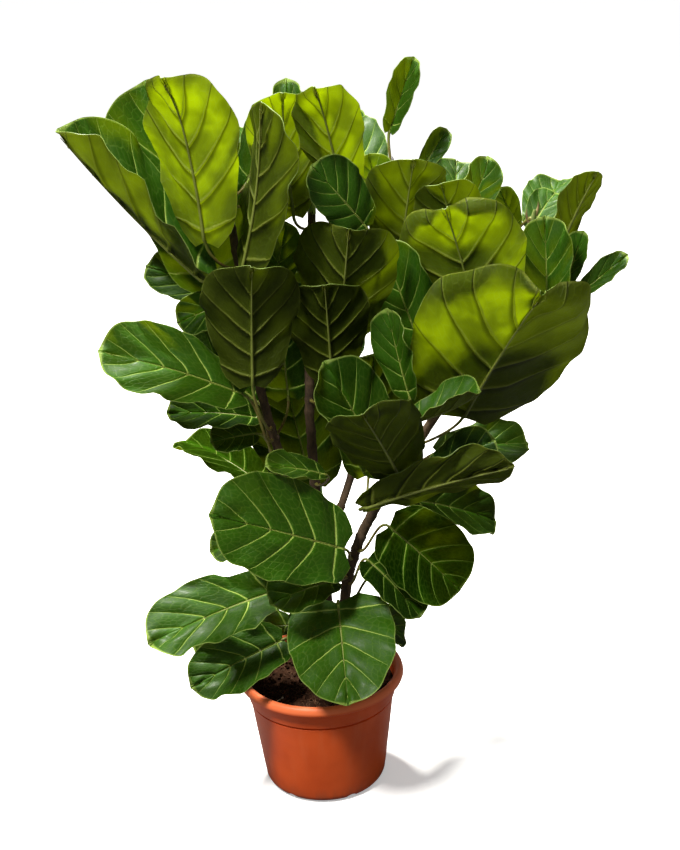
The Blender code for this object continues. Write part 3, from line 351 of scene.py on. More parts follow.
class Blade:
    """The surface of one leaf after it has settled among its neighbours."""

    def __init__(self, plan: LeafPlan, change: Sequence[float], pivot: np.ndarray | None = None) -> None:
        """Turn a planned leaf by a small change.

        Args:
            plan: The planned leaf.
            change: Swing, lift, roll and reach.
            pivot: Point that it turns about, or None for its own root.
        """
        swing, lift, roll, reach = change
        self.plan = plan
        self.root = STEMS[plan.stem].point(plan.height)
        base, tip = np.array(plan.base), np.array(plan.tip)
        compass, elevation = (math.radians(a) for a in plan.face)
        normal = np.array((math.cos(compass) * math.cos(elevation), math.sin(compass) * math.cos(elevation),
                           math.sin(elevation)))
        around = self.root if pivot is None else pivot
        level = unit(np.cross(tip - around, (0.0, 0.0, 1.0)))
        spin = turn((0.0, 0.0, 1.0), swing) @ turn(level, lift)
        self.base = around + spin @ (base - around) * reach
        self.tip = around + spin @ (tip - around) * reach
        self.length = float(np.linalg.norm(self.tip - self.base))
        self.chord = unit(self.tip - self.base)
        normal = turn(self.chord, roll) @ (spin @ normal)
        self.normal = unit(normal - self.chord * np.dot(normal, self.chord))
        self.side = np.cross(self.normal, self.chord)
        chance = random.Random(round(1000 * plan.height) + 37 * len(plan.stem))
        self.phases = (chance.uniform(0, 6.28), chance.uniform(0, 6.28))
        self.ripple = 0.012 + 0.010 * chance.random()
        self.chance = random.Random(round(1000 * (plan.height + 3 * plan.tip[0] + 7 * plan.tip[2])))

    @property
    def half_width(self) -> float:
        """Half the greatest width, in metres."""
        return self.plan.width * self.length / 2

    def outline(self, start: np.ndarray) -> tuple[np.ndarray, np.ndarray]:
        """How far along and how wide the margin is for cross lines that start on the midrib.

        Args:
            start: Place of the margin on the outline, 0 to 1.

        Returns:
            Distance along the midrib and width of the margin, as fractions.
        """
        table = np.array(SLIM) * (1 - self.plan.broad) + np.array(BROAD) * self.plan.broad
        edge = through(table[:, 0], table[:, 1:], start)
        return edge[..., 0] + self.plan.notch * np.exp(-((start - 0.92) / 0.07) ** 2), edge[..., 1]

    def place(self, along: np.ndarray, half: np.ndarray, start: np.ndarray,
              across: np.ndarray) -> np.ndarray:
        """Bend flat blade points into place.

        Args:
            along: Distance along the midrib, as a fraction of the length.
            half: Width of the margin that each point's row ends at.
            start: Place of that margin on the outline.
            across: Place from margin to margin, -1 to 1.

        Returns:
            Points in metres.
        """
        plan, size = self.plan, np.abs(across)
        reach = half * size * self.half_width
        fold = math.radians(plan.fold)
        bend = math.radians(plan.cup) / self.half_width + 0.01
        level = (np.sin(fold + bend * reach) - np.sin(fold)) / bend
        rise = (np.cos(fold) - np.cos(fold + bend * reach)) / bend
        rise = rise + self.length * plan.arch * 4 * along * (1 - along)
        rise = rise - self.length * plan.curl * np.maximum(0.0, (along - 0.65) / 0.35) ** 2
        phase = np.where(across < 0, self.phases[0], self.phases[1])
        rise = rise + self.length * self.ripple * half * size ** 2.5 * np.sin(TAU * 2.4 * start + phase)
        level = level * np.sign(across)
        twist = math.radians(plan.twist) * (along - 0.4)
        level, rise = (level * np.cos(twist) - rise * np.sin(twist),
                       level * np.sin(twist) + rise * np.cos(twist))
        return (self.base + (along * self.length)[..., None] * self.chord
                + level[..., None] * self.side + rise[..., None] * self.normal)

    def coarse(self) -> np.ndarray:
        """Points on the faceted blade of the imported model, for finding how the leaf settled.

        Returns:
            One row for each point, in metres.
        """
        starts = np.array(LARGE_STATIONS if self.length >= LARGE_LEAF else SMALL_STATIONS)
        start, across = np.meshgrid(starts, (-1.0, -0.52, 0.0, 0.52, 1.0), indexing="ij")
        margin, half = self.outline(start)
        along = start + (margin - start) * np.abs(across) ** 1.6
        return self.place(along, half, start, across).reshape(-1, 3)

    def fine(self, rows: np.ndarray, columns: np.ndarray) -> tuple[np.ndarray, np.ndarray, np.ndarray]:
        """Points of the fine blade, whose rows run along the side veins.

        Args:
            rows: Where each row starts on the midrib, 0 to 1.
            columns: Where each column is from margin to margin, -1 to 1.

        Returns:
            The points, their distance from the midrib and that from the margin, in metres.
        """
        row, across = np.meshgrid(rows, columns, indexing="ij")
        start = 1 - (1 - row) ** SWEEP
        margin, half = self.outline(start)
        size = np.abs(across)
        along = row + (margin - row) * size ** 1.22
        points = self.place(along, half, start, across)
        return points, half * size * self.half_width, half * (1 - size) * self.half_width

    def stalk(self, bark: float) -> list[tuple[np.ndarray, float]]:
        """Centres and radii along the stalk, from inside the bark to the blade.

        Args:
            bark: Radius of the stem there.

        Returns:
            Centre and radius of each ring.
        """
        slope = STEMS[self.plan.stem].slope(self.plan.height)
        out = self.base - self.root
        out = unit(out - slope * np.dot(out, slope))
        start = self.root + out * bark * 0.6
        span = np.linalg.norm(self.base - start)
        first = start + out * span * 0.35
        last = self.base - self.chord * span * 0.30 - self.normal * 0.002
        rings = []
        for part in np.linspace(0.0, 1.0, 13):
            rest = 1 - part
            centre = (rest ** 3 * start + 3 * rest ** 2 * part * first
                      + 3 * rest * part ** 2 * last + part ** 3 * self.base)
            swell = 1.5 * math.exp(-(part * span / 0.007) ** 2)
            swell += 0.25 * math.exp(-(rest * span / 0.010) ** 2)
            rings.append((centre, 0.0022 + 0.0009 * swell))
        return rings


def settled(plans: Sequence[LeafPlan], node: str, pivot: np.ndarray | None = None,
            extra: np.ndarray | None = None) -> list[Blade]:
    """Find the small turn by which the leaves of a node settled, from the node's box.

    Args:
        plans: The planned leaves of the node.
        node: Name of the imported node.
        pivot: Point that they turned about, or None for the leaf's own root.
        extra: More points of the node that don't turn.

    Returns:
        The blades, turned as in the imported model.
    """
    low, high = (np.array(corner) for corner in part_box(node))
    best, fewest = None, math.inf
    for change in changes():
        blades = [Blade(plan, change, pivot) for plan in plans]
        clouds = [blade.coarse() for blade in blades]
        for blade in blades:
            clouds.append(np.array([blade.root, blade.base]))
        if extra is not None:
            clouds.append(extra)
        cloud = np.concatenate(clouds)
        miss = np.minimum(np.abs(cloud.min(0) - low), 0.01).sum()
        miss += np.minimum(np.abs(cloud.max(0) - high), 0.01).sum()
        if miss < fewest:
            best, fewest = blades, miss
    if fewest > 0.012:
        LOG.warning("%s fits its box only to %.1f mm", node, 1000 * fewest)
    return best

# ---------------------------------------------------------------- node trees
class Nodes:
    """Adds linked nodes to a material or a node group."""

    def __init__(self, tree: bpy.types.NodeTree) -> None:
        """Start on an empty tree."""
        self.tree = tree
        tree.nodes.clear()

    def add(self, kind: str, inputs: dict | None = None, **settings: object) -> bpy.types.Node:
        """Add a node.

        Args:
            kind: Node type, without the leading ShaderNode.
            inputs: Socket or value for each named or numbered input.
            settings: Properties of the node.

        Returns:
            The new node.
        """
        node = self.tree.nodes.new("ShaderNode" + kind)
        for name, value in settings.items():
            setattr(node, name, value)
        for name, value in (inputs or {}).items():
            if isinstance(value, bpy.types.NodeSocket):
                self.tree.links.new(value, node.inputs[name])
            else:
                node.inputs[name].default_value = value
        return node

    def math(self, operation: str, first: object, second: object = 0.0,
             clamp: bool = False) -> bpy.types.NodeSocket:
        """Return the result of a calculation with one or two numbers."""
        return self.add("Math", {0: first, 1: second}, operation=operation, use_clamp=clamp).outputs[0]

    def ramp(self, value: object, start: object, stop: object, low: float = 0.0,
             high: float = 1.0) -> bpy.types.NodeSocket:
        """Return a value carried smoothly from one range to another.

        Args:
            value: Number to carry over.
            start: Low end of its range.
            stop: High end of its range.
            low: Result at the low end.
            high: Result at the high end.

        Returns:
            Socket with the result.
        """
        inputs = {0: value, 1: start, 2: stop, 3: low, 4: high}
        node = self.add("MapRange", inputs, interpolation_type="SMOOTHSTEP")
        return node.outputs[0]

    def mix(self, share: object, first: object, second: object) -> bpy.types.NodeSocket:
        """Return a mix of two colours.

        Args:
            share: Share of the second colour.
            first: Socket or colour.
            second: Socket or colour.

        Returns:
            Colour socket.
        """
        node = self.add("Mix", {0: share}, data_type="RGBA")
        for index, value in ((6, first), (7, second)):
            if isinstance(value, bpy.types.NodeSocket):
                self.tree.links.new(value, node.inputs[index])
            else:
                node.inputs[index].default_value = (*value, 1.0)
        return node.outputs[2]

    def noise(self, vector: object, scale: float, detail: float = 3.0,
              rough: float = 0.55) -> bpy.types.NodeSocket:
        """Return a noise value, about 0 to 1."""
        inputs = {"Vector": vector, "Scale": scale, "Detail": detail, "Roughness": rough}
        return self.add("TexNoise", inputs).outputs["Fac"]

    def stretched(self, scale: Point) -> bpy.types.NodeSocket:
        """Return Object coordinates, scaled."""
        where = self.add("TexCoord").outputs["Object"]
        return self.add("Mapping", {"Vector": where, "Scale": scale}).outputs[0]

    def group(self, tree: bpy.types.NodeTree, inputs: dict) -> bpy.types.Node:
        """Place a node group.

        Args:
            tree: Node group.
            inputs: Socket or value for each input.

        Returns:
            The node that stands for the group.
        """
        node = self.tree.nodes.new("ShaderNodeGroup")
        node.node_tree = tree
        for name, value in inputs.items():
            if isinstance(value, bpy.types.NodeSocket):
                self.tree.links.new(value, node.inputs[name])
            else:
                node.inputs[name].default_value = value
        return node


def new_group(name: str, inputs: dict[str, str],
              outputs: dict[str, str]) -> tuple[bpy.types.NodeTree, Nodes, dict]:
    """Start a shader node group.

    Args:
        name: Name of the group.
        inputs: Kind of socket for each input, such as Float or Vector.
        outputs: Kind of socket for each output.

    Returns:
        The group, its node kit and its input sockets by name.
    """
    tree = bpy.data.node_groups.new(name, "ShaderNodeTree")
    for label, kind in inputs.items():
        tree.interface.new_socket(label, in_out="INPUT", socket_type="NodeSocket" + kind)
    for label, kind in outputs.items():
        tree.interface.new_socket(label, in_out="OUTPUT", socket_type="NodeSocket" + kind)
    kit = Nodes(tree)
    entry = tree.nodes.new("NodeGroupInput")
    return tree, kit, {label: entry.outputs[label] for label in inputs}


def close_group(kit: Nodes, results: dict[str, bpy.types.NodeSocket]) -> None:
    """Connect the outputs of a node group.

    Args:
        kit: Node kit of the group.
        results: Socket for each output, by name.
    """
    leave = kit.tree.nodes.new("NodeGroupOutput")
    for label, socket in results.items():
        kit.tree.links.new(socket, leave.inputs[label])


def vein_group() -> bpy.types.NodeTree:
    """Build the group that draws a leaf's midrib, side veins, fine net and margin.

    Returns:
        The node group; each output is a mask from 0 to 1.
    """
    tree, kit, given = new_group(
        "leaf_veins",
        {"Blade": "Vector", "Reach": "Vector", "Pairs": "Float", "Width": "Float"},
        {"Midrib": "Float", "Sides": "Float", "Net": "Float", "Margin": "Float", "Valley": "Float",
         "Halo": "Float"})
    flat = kit.add("SeparateXYZ", {0: given["Blade"]})
    reach = kit.add("SeparateXYZ", {0: given["Reach"]})
    across = kit.math("ABSOLUTE", kit.math("SUBTRACT", kit.math("MULTIPLY", flat.outputs[0], 2.0), 1.0))
    wobble = kit.noise(given["Blade"], 9.0, 1.0)
    row = kit.math("ADD", flat.outputs[1], kit.math("MULTIPLY", kit.math("SUBTRACT", wobble, 0.5), 0.010))
    order = kit.math("SUBTRACT", kit.math("MULTIPLY", row, given["Pairs"]), VEIN_OFFSET)
    nearest = kit.math("ROUND", order)
    away = kit.math("DIVIDE", kit.math("ABSOLUTE", kit.math("SUBTRACT", order, nearest)), given["Pairs"])
    taper = kit.math("MULTIPLY", given["Width"], kit.ramp(across, 0.0, 1.1, 1.0, 0.12))
    sides = kit.ramp(away, kit.math("MULTIPLY", taper, 0.25), taper, 1.0, 0.0)
    thin = kit.ramp(flat.outputs[1], 0.0, 1.0, 0.026, 0.006)
    midrib = kit.ramp(reach.outputs[0], kit.math("MULTIPLY", thin, 0.45), thin, 1.0, 0.0)
    cells = kit.add("CombineXYZ", {0: kit.math("MULTIPLY", flat.outputs[0], 15.0),
                                   1: kit.math("MULTIPLY", flat.outputs[1], 30.0)})
    edges = kit.add("TexVoronoi", {"Vector": cells.outputs[0], "Scale": 1.0, "Randomness": 0.85},
                    feature="DISTANCE_TO_EDGE", voronoi_dimensions="2D").outputs["Distance"]
    net = kit.ramp(edges, 0.02, 0.11, 1.0, 0.0)
    margin = kit.ramp(reach.outputs[1], 0.004, 0.014, 1.0, 0.0)
    halo = kit.math("MAXIMUM", kit.ramp(away, 0.0, kit.math("MULTIPLY", taper, 3.2), 1.0, 0.0),
                    kit.ramp(reach.outputs[0], 0.0, 0.09, 1.0, 0.0))
    # Valley: painted shadow in a band just below each side vein.
    below = kit.math("DIVIDE", kit.math("SUBTRACT", nearest, order), given["Pairs"])
    rising = kit.ramp(below, kit.math("MULTIPLY", taper, 0.7), kit.math("MULTIPLY", taper, 1.1))
    falling = kit.ramp(below, kit.math("MULTIPLY", taper, 1.6), kit.math("MULTIPLY", taper, 5.2), 1.0, 0.0)
    vein_shadow = kit.math("MULTIPLY", rising, falling)
    close_group(kit, {"Midrib": midrib, "Sides": sides, "Net": net, "Margin": margin, "Valley": vein_shadow,
                      "Halo": halo})
    return tree


def mottle_group() -> bpy.types.NodeTree:
    """Build the group that gives a surface broad patches and fine grain from its own place.

    Returns:
        The node group, with two masks and a height.
    """
    tree, kit, given = new_group(
        "mottle", {"Place": "Vector", "Broad scale": "Float", "Fine scale": "Float"},
        {"Broad": "Float", "Fine": "Float", "Height": "Float"})
    broad = kit.noise(given["Place"], given["Broad scale"], 2.0)
    fine = kit.noise(given["Place"], given["Fine scale"], 5.0, 0.65)
    height = kit.math("ADD", kit.math("MULTIPLY", broad, 0.4), kit.math("MULTIPLY", fine, 0.6))
    close_group(kit, {"Broad": kit.ramp(broad, 0.32, 0.68), "Fine": kit.ramp(fine, 0.35, 0.65),
                      "Height": height})
    return tree


class Groups:
    """The node groups that several finishes share."""

    def __init__(self) -> None:
        """Build each group once."""
        self.veins = vein_group()
        self.mottle = mottle_group()


def surface(kit: Nodes, colour: object, rough: object, bump: object | None, height: float,
            **plain: float) -> bpy.types.Node:
    """Add a Principled shader with a bump.

    Args:
        kit: Node kit of the material.
        colour: Socket or colour.
        rough: Socket or roughness.
        bump: Height socket, or None for a plain surface.
        height: Depth of the bump in metres.
        plain: Values of further sockets, with spaces written as underscores.

    Returns:
        The shader node.
    """
    inputs = {"Base Color": colour if isinstance(colour, bpy.types.NodeSocket) else (*colour, 1.0),
              "Roughness": rough}
    if bump is not None:
        inputs["Normal"] = kit.add("Bump", {"Height": bump, "Distance": height, "Strength": 1.0}).outputs[0]
    for name, value in plain.items():
        inputs[name.replace("_", " ")] = value
    return kit.add("BsdfPrincipled", inputs)


def close_material(kit: Nodes, shader: bpy.types.NodeSocket) -> None:
    """Connect a shader to the material's output."""
    kit.add("OutputMaterial", {"Surface": shader})


class Side(Enum):
    """The two faces of a blade."""

    UPPER = "upper"
    UNDER = "under"


@dataclass(frozen=True)
class LeafFinish:
    """Colours and gloss of one face of a leaf."""

    side: Side
    deep: Point
    fresh: Point
    vein: Point
    glow: Point
    rough: tuple[float, float]
    passing: float
    relief: float
    shine: float
    vein_width: float

    def make(self, name: str, pairs: int, groups: Groups) -> bpy.types.Material:
        """Build the material for leaves with a number of vein pairs.

        Args:
            name: Name of the material.
            pairs: Number of side vein pairs.
            groups: Shared node groups.

        Returns:
            The material.
        """
        material = bpy.data.materials.new(name)
        material.use_nodes = True
        kit = Nodes(material.node_tree)
        flat = kit.add("UVMap", uv_map="blade").outputs[0]
        reach = kit.add("UVMap", uv_map="reach").outputs[0]
        tone = kit.add("SeparateXYZ", {0: kit.add("UVMap", uv_map="tone").outputs[0]})
        veins = kit.group(groups.veins, {"Blade": flat, "Reach": reach, "Pairs": float(pairs),
                                         "Width": self.vein_width})
        place = kit.add("TexCoord").outputs["Object"]
        mottle = kit.group(groups.mottle, {"Place": place, "Broad scale": 22.0, "Fine scale": 240.0})
        patches = kit.math("ADD", kit.math("MULTIPLY", mottle.outputs["Broad"], 0.35), tone.outputs[0])
        patches = kit.math("ADD", patches, kit.math("MULTIPLY", mottle.outputs["Fine"], 0.12), clamp=True)
        body = kit.mix(patches, self.deep, self.fresh)
        # A negative first tone value is painted shade: it darkens the body, the veins and the gloss of
        # leaves deep in the plant.
        painted_shade = kit.math("MULTIPLY", tone.outputs[0], -1.0, clamp=True)
        body = kit.mix(painted_shade, body, tuple(0.22 * part for part in self.deep))
        near = kit.math("MAXIMUM", veins.outputs["Halo"], kit.math("MULTIPLY", veins.outputs["Net"], 0.25))
        body = kit.mix(kit.math("MULTIPLY", near, 0.32), body, tuple(1.7 * part for part in self.fresh))
        rib = kit.math("MAXIMUM", kit.math("MULTIPLY", veins.outputs["Midrib"], 0.95),
                       kit.math("MULTIPLY", veins.outputs["Sides"], 0.80))
        rib = kit.math("MAXIMUM", rib, kit.math("MULTIPLY", veins.outputs["Margin"], 0.45))
        rib = kit.math("MAXIMUM", rib, kit.math("MULTIPLY", veins.outputs["Net"], 0.06))
        rib = kit.math("MULTIPLY", rib, kit.math("SUBTRACT", 1.0, kit.math("MULTIPLY", painted_shade, 0.65)))
        colour = kit.mix(rib, body, self.vein)
        thick = kit.math("MULTIPLY", veins.outputs["Sides"], 0.75)
        thick = kit.math("MAXIMUM", veins.outputs["Midrib"], thick)
        glow = kit.mix(kit.math("MULTIPLY", veins.outputs["Net"], 0.22), self.glow, (0.85, 0.95, 0.12))
        glow = kit.mix(thick, glow, (0.46, 0.50, 0.04))
        glow = kit.mix(kit.math("MULTIPLY", mottle.outputs["Broad"], 0.70), glow,
                       tuple(0.48 * part for part in self.glow))
        # The second tone value dims the light that shines through: a random age on most leaves, painted
        # shade on the halves of the leaves in front of the key lamp.
        glow = kit.mix(tone.outputs[1], glow, tuple(0.22 * part for part in self.glow))
        # On undersides, painted shadow below each side vein darkens both colour and glow.
        if self.side is Side.UNDER:
            shaded = kit.math("MULTIPLY", veins.outputs["Valley"], 0.88)
            glow = kit.mix(shaded, glow, tuple(0.24 * part for part in self.glow))
            colour = kit.mix(shaded, colour, tuple(0.35 * part for part in self.deep))
        line = kit.math("ADD", kit.math("MULTIPLY", veins.outputs["Sides"], 0.6),
                        kit.math("MULTIPLY", veins.outputs["Net"], 0.22))
        line = kit.math("ADD", line, veins.outputs["Midrib"])
        sign = -1.0 if self.side is Side.UPPER else 1.0
        grain = kit.math("MULTIPLY", mottle.outputs["Fine"], 0.10)
        height = kit.math("ADD", kit.math("MULTIPLY", line, sign), grain)
        rough = kit.ramp(mottle.outputs["Fine"], 0.0, 1.0, *self.rough)
        # Painted shade also takes away the coat and the specular gloss.
        gloss_left_in_painted_shade = kit.math("SUBTRACT", 1.0, kit.math("MULTIPLY", painted_shade, 1.2), clamp=True)
        coat = kit.math("MULTIPLY", gloss_left_in_painted_shade, 0.06) if self.side is Side.UPPER else 0.0
        shader = surface(kit, colour, rough, height, self.relief, Coat_Weight=coat, Coat_Roughness=0.30,
                         Specular_IOR_Level=kit.math("MULTIPLY", gloss_left_in_painted_shade, self.shine))
        through_light = kit.add("BsdfTranslucent", {"Color": glow})
        both = kit.add("MixShader", {0: self.passing, 1: shader.outputs[0], 2: through_light.outputs[0]})
        close_material(kit, both.outputs[0])
        return material


UPPER = LeafFinish(side=Side.UPPER, deep=(0.010, 0.046, 0.001), fresh=(0.038, 0.128, 0.003),
                   vein=(0.50, 0.66, 0.13), glow=(0.60, 0.95, 0.10), rough=(0.40, 0.54), passing=0.34,
                   relief=0.0012, shine=0.17, vein_width=0.0125)
UNDER = LeafFinish(side=Side.UNDER, deep=(0.042, 0.064, 0.002), fresh=(0.085, 0.118, 0.005),
                   vein=(0.26, 0.31, 0.05), glow=(0.98, 0.88, 0.012), rough=(0.50, 0.62), passing=0.55,
                   relief=0.0018, shine=0.20, vein_width=0.0145)


@dataclass(frozen=True)
class PlainFinish:
    """A surface with broad patches of a second colour and fine grain."""

    first: Point
    second: Point
    broad: float
    fine: float
    rough: tuple[float, float]
    relief: float
    stretch: Point = (1.0, 1.0, 1.0)
    shine: float = 0.3

    def make(self, name: str, groups: Groups) -> bpy.types.Material:
        """Build the material.

        Args:
            name: Name of the material.
            groups: Shared node groups.

        Returns:
            The material.
        """
        material = bpy.data.materials.new(name)
        material.use_nodes = True
        kit = Nodes(material.node_tree)
        mottle = kit.group(groups.mottle, {"Place": kit.stretched(self.stretch), "Broad scale": self.broad,
                                           "Fine scale": self.fine})
        share = kit.math("ADD", kit.math("MULTIPLY", mottle.outputs["Broad"], 0.6),
                         kit.math("MULTIPLY", mottle.outputs["Fine"], 0.4))
        colour = kit.mix(share, self.first, self.second)
        rough = kit.ramp(mottle.outputs["Fine"], 0.0, 1.0, *self.rough)
        shader = surface(kit, colour, rough, mottle.outputs["Height"], self.relief,
                         Specular_IOR_Level=self.shine)
        close_material(kit, shader.outputs[0])
        return material


MARGIN = PlainFinish((0.12, 0.19, 0.03), (0.24, 0.32, 0.07), 30.0, 260.0, (0.40, 0.52), 0.0001)
MIDRIB = PlainFinish((0.10, 0.12, 0.015), (0.17, 0.20, 0.035), 30.0, 260.0, (0.40, 0.52), 0.0002)
STALK = PlainFinish((0.13, 0.07, 0.02), (0.16, 0.17, 0.03), 26.0, 300.0, (0.42, 0.56), 0.0003)
BARK = PlainFinish((0.026, 0.015, 0.008), (0.115, 0.072, 0.038), 46.0, 420.0, (0.70, 0.90), 0.0012,
                   stretch=(1.0, 1.0, 0.45))
SHOOT = PlainFinish((0.10, 0.13, 0.03), (0.20, 0.26, 0.06), 30.0, 300.0, (0.40, 0.55), 0.0003)
SHEATH = PlainFinish((0.10, 0.055, 0.025), (0.22, 0.17, 0.06), 60.0, 300.0, (0.55, 0.70), 0.0003)
SOIL = PlainFinish((0.011, 0.0052, 0.0033), (0.052, 0.0240, 0.0135), 90.0, 620.0, (0.92, 1.0), 0.0040,
                   shine=0.02)
CLOD = PlainFinish((0.013, 0.0065, 0.004), (0.072, 0.033, 0.018), 120.0, 700.0, (0.88, 1.0), 0.0012,
                   shine=0.03)
FIBRE = PlainFinish((0.050, 0.022, 0.010), (0.17, 0.090, 0.045), 90.0, 400.0, (0.80, 0.95), 0.0004)
TWIG = PlainFinish((0.42, 0.36, 0.28), (0.66, 0.60, 0.50), 90.0, 500.0, (0.70, 0.85), 0.0004)


@dataclass(frozen=True)
class PlasticFinish:
    """Moulded plastic with faded streaks, scuffs, a painted highlight along the top of the rim and damp
    marks near the floor.
    """

    first: Point = (0.62, 0.078, 0.011)
    second: Point = (0.73, 0.100, 0.015)
    faded: Point = (0.70, 0.15, 0.05)
    scuffed: Point = (0.62, 0.18, 0.08)
    damp: Point = (0.16, 0.05, 0.022)
    damp_height: float = 0.035
    rim_highlight: Point = (0.98, 0.25, 0.09)
    rim_heights: tuple[float, float] = (0.183, 0.190)
    rough: tuple[float, float] = (0.40, 0.50)
    relief: float = 0.0002
    shine: float = 0.35

    def make(self, name: str, groups: Groups) -> bpy.types.Material:
        """Build the material.

        Args:
            name: Name of the material.
            groups: Shared node groups.

        Returns:
            The material.
        """
        material = bpy.data.materials.new(name)
        material.use_nodes = True
        kit = Nodes(material.node_tree)
        place = kit.add("TexCoord").outputs["Object"]
        mottle = kit.group(groups.mottle, {"Place": place, "Broad scale": 14.0, "Fine scale": 900.0})
        streaks = kit.noise(kit.stretched((60.0, 60.0, 3.0)), 1.0, 3.0)
        scuffs = kit.ramp(kit.noise(kit.stretched((30.0, 30.0, 160.0)), 1.0, 4.0, 0.7), 0.66, 0.74)
        height = kit.add("SeparateXYZ", {0: place}).outputs[2]
        low = kit.ramp(height, 0.0, self.damp_height, 1.0, 0.0)
        marks = kit.math("MULTIPLY", low, kit.ramp(streaks, 0.3, 0.7, 0.1, 0.55))
        body = kit.mix(mottle.outputs["Broad"], self.first, self.second)
        body = kit.mix(kit.math("MULTIPLY", kit.ramp(streaks, 0.5, 0.75), 0.22), body, self.faded)
        body = kit.mix(kit.math("MULTIPLY", scuffs, 0.25), body, self.scuffed)
        # Painted highlight: the top of the rim is lighter where the key light catches it.
        body = kit.mix(kit.math("MULTIPLY", kit.ramp(height, *self.rim_heights), 0.55), body, self.rim_highlight)
        body = kit.mix(marks, body, self.damp)
        rough = kit.math("ADD", kit.ramp(mottle.outputs["Fine"], 0.0, 1.0, *self.rough),
                         kit.math("MULTIPLY", scuffs, 0.2))
        shader = surface(kit, body, rough, mottle.outputs["Height"], self.relief,
                         Specular_IOR_Level=self.shine)
        close_material(kit, shader.outputs[0])
        return material


PLASTIC = PlasticFinish()

# ---------------------------------------------------------------- modelling by hand
def clear_selection() -> None:
    """Leave nothing selected and be in object mode."""
    if bpy.context.object is not None and bpy.context.object.mode != "OBJECT":
        bpy.ops.object.mode_set(mode="OBJECT")
    bpy.ops.object.select_all(action="DESELECT")


def take(name: str) -> bpy.types.Object:
    """Name the object that was just added, with its mesh, and return it.

    Args:
        name: New name.

    Returns:
        The object.
    """
    piece = bpy.context.object
    piece.name = name
    piece.data.name = name
    return piece


def pick(pieces: Sequence[bpy.types.Object]) -> None:
    """Select some objects and make the first one active.

    Args:
        pieces: Objects to select.
    """
    clear_selection()
    for piece in pieces:
        piece.select_set(True)
    bpy.context.view_layer.objects.active = pieces[0]


def apply_all(piece: bpy.types.Object) -> None:
    """Apply each modifier of a piece.

    Args:
        piece: Piece with modifiers.
    """
    pick([piece])
    for name in [modifier.name for modifier in piece.modifiers]:
        bpy.ops.object.modifier_apply(modifier=name)


def join(pieces: Sequence[bpy.types.Object]) -> bpy.types.Object:
    """Join objects to the first one.

    Args:
        pieces: Objects to join.

    Returns:
        The first object, with all the others in it.
    """
    pick(pieces)
    if len(pieces) > 1:
        bpy.ops.object.join()
    return pieces[0]


def clean(piece: bpy.types.Object) -> None:
    """Merge doubled points and turn all faces outwards.

    Args:
        piece: Closed piece.
    """
    pick([piece])
    bpy.ops.object.mode_set(mode="EDIT")
    bpy.ops.mesh.select_all(action="SELECT")
    bpy.ops.mesh.remove_doubles(threshold=0.000005)
    bpy.ops.mesh.normals_make_consistent(inside=False)
    bpy.ops.object.mode_set(mode="OBJECT")


def smooth(piece: bpy.types.Object, degrees: float = 180.0) -> None:
    """Shade a piece smooth, but for edges sharper than an angle."""
    pick([piece])
    bpy.ops.object.shade_smooth_by_angle(angle=math.radians(degrees))


def paint(piece: bpy.types.Object, *materials: bpy.types.Material) -> None:
    """Give a piece its materials.

    Args:
        piece: Piece to paint.
        materials: Materials in the order of their slots.
    """
    piece.data.materials.clear()
    for material in materials:
        piece.data.materials.append(material)


def read_points(piece: bpy.types.Object) -> np.ndarray:
    """Return the points of a piece's mesh.

    Args:
        piece: Piece to read.

    Returns:
        One row of x, y and z for each point, in metres.
    """
    flat = np.empty(3 * len(piece.data.vertices))
    piece.data.vertices.foreach_get("co", flat)
    return flat.reshape(-1, 3)


def write_points(piece: bpy.types.Object, points: np.ndarray) -> None:
    """Move the points of a piece's mesh."""
    piece.data.vertices.foreach_set("co", np.ascontiguousarray(points, float).ravel())
    piece.data.update()


def write_uv(piece: bpy.types.Object, name: str, values: np.ndarray) -> None:
    """Give a piece a UV map from one pair of numbers for each point.

    Args:
        piece: Piece to mark.
        name: Name of the UV map.
        values: One pair for each point of the mesh.
    """
    mesh = piece.data
    layer = mesh.uv_layers.get(name) or mesh.uv_layers.new(name=name)
    corner = np.empty(len(mesh.loops), np.int32)
    mesh.loops.foreach_get("vertex_index", corner)
    layer.data.foreach_set("uv", values[corner].astype(np.float32).ravel())


def swept(name: str, spine: Sequence[tuple[np.ndarray, float]], roundness: int) -> bpy.types.Object:
    """Model a tube along a spine.

    Args:
        name: Name of the piece.
        spine: Centre and radius at each point.
        roundness: Resolution of the bevel; the tube has 2 * roundness + 4 sides.

    Returns:
        The tube as a mesh, closed at both ends.
    """
    clear_selection()
    bpy.ops.curve.primitive_nurbs_path_add()
    piece = take(name)
    curve = piece.data
    curve.splines.clear()
    line = curve.splines.new("POLY")
    line.points.add(len(spine) - 1)
    for point, (centre, radius) in zip(line.points, spine):
        point.co = (*centre, 1.0)
        point.radius = radius
    curve.bevel_depth = 1.0
    curve.bevel_resolution = roundness
    curve.use_fill_caps = True
    curve.twist_mode = "MINIMUM"
    pick([piece])
    bpy.ops.object.convert(target="MESH")
    return take(name)


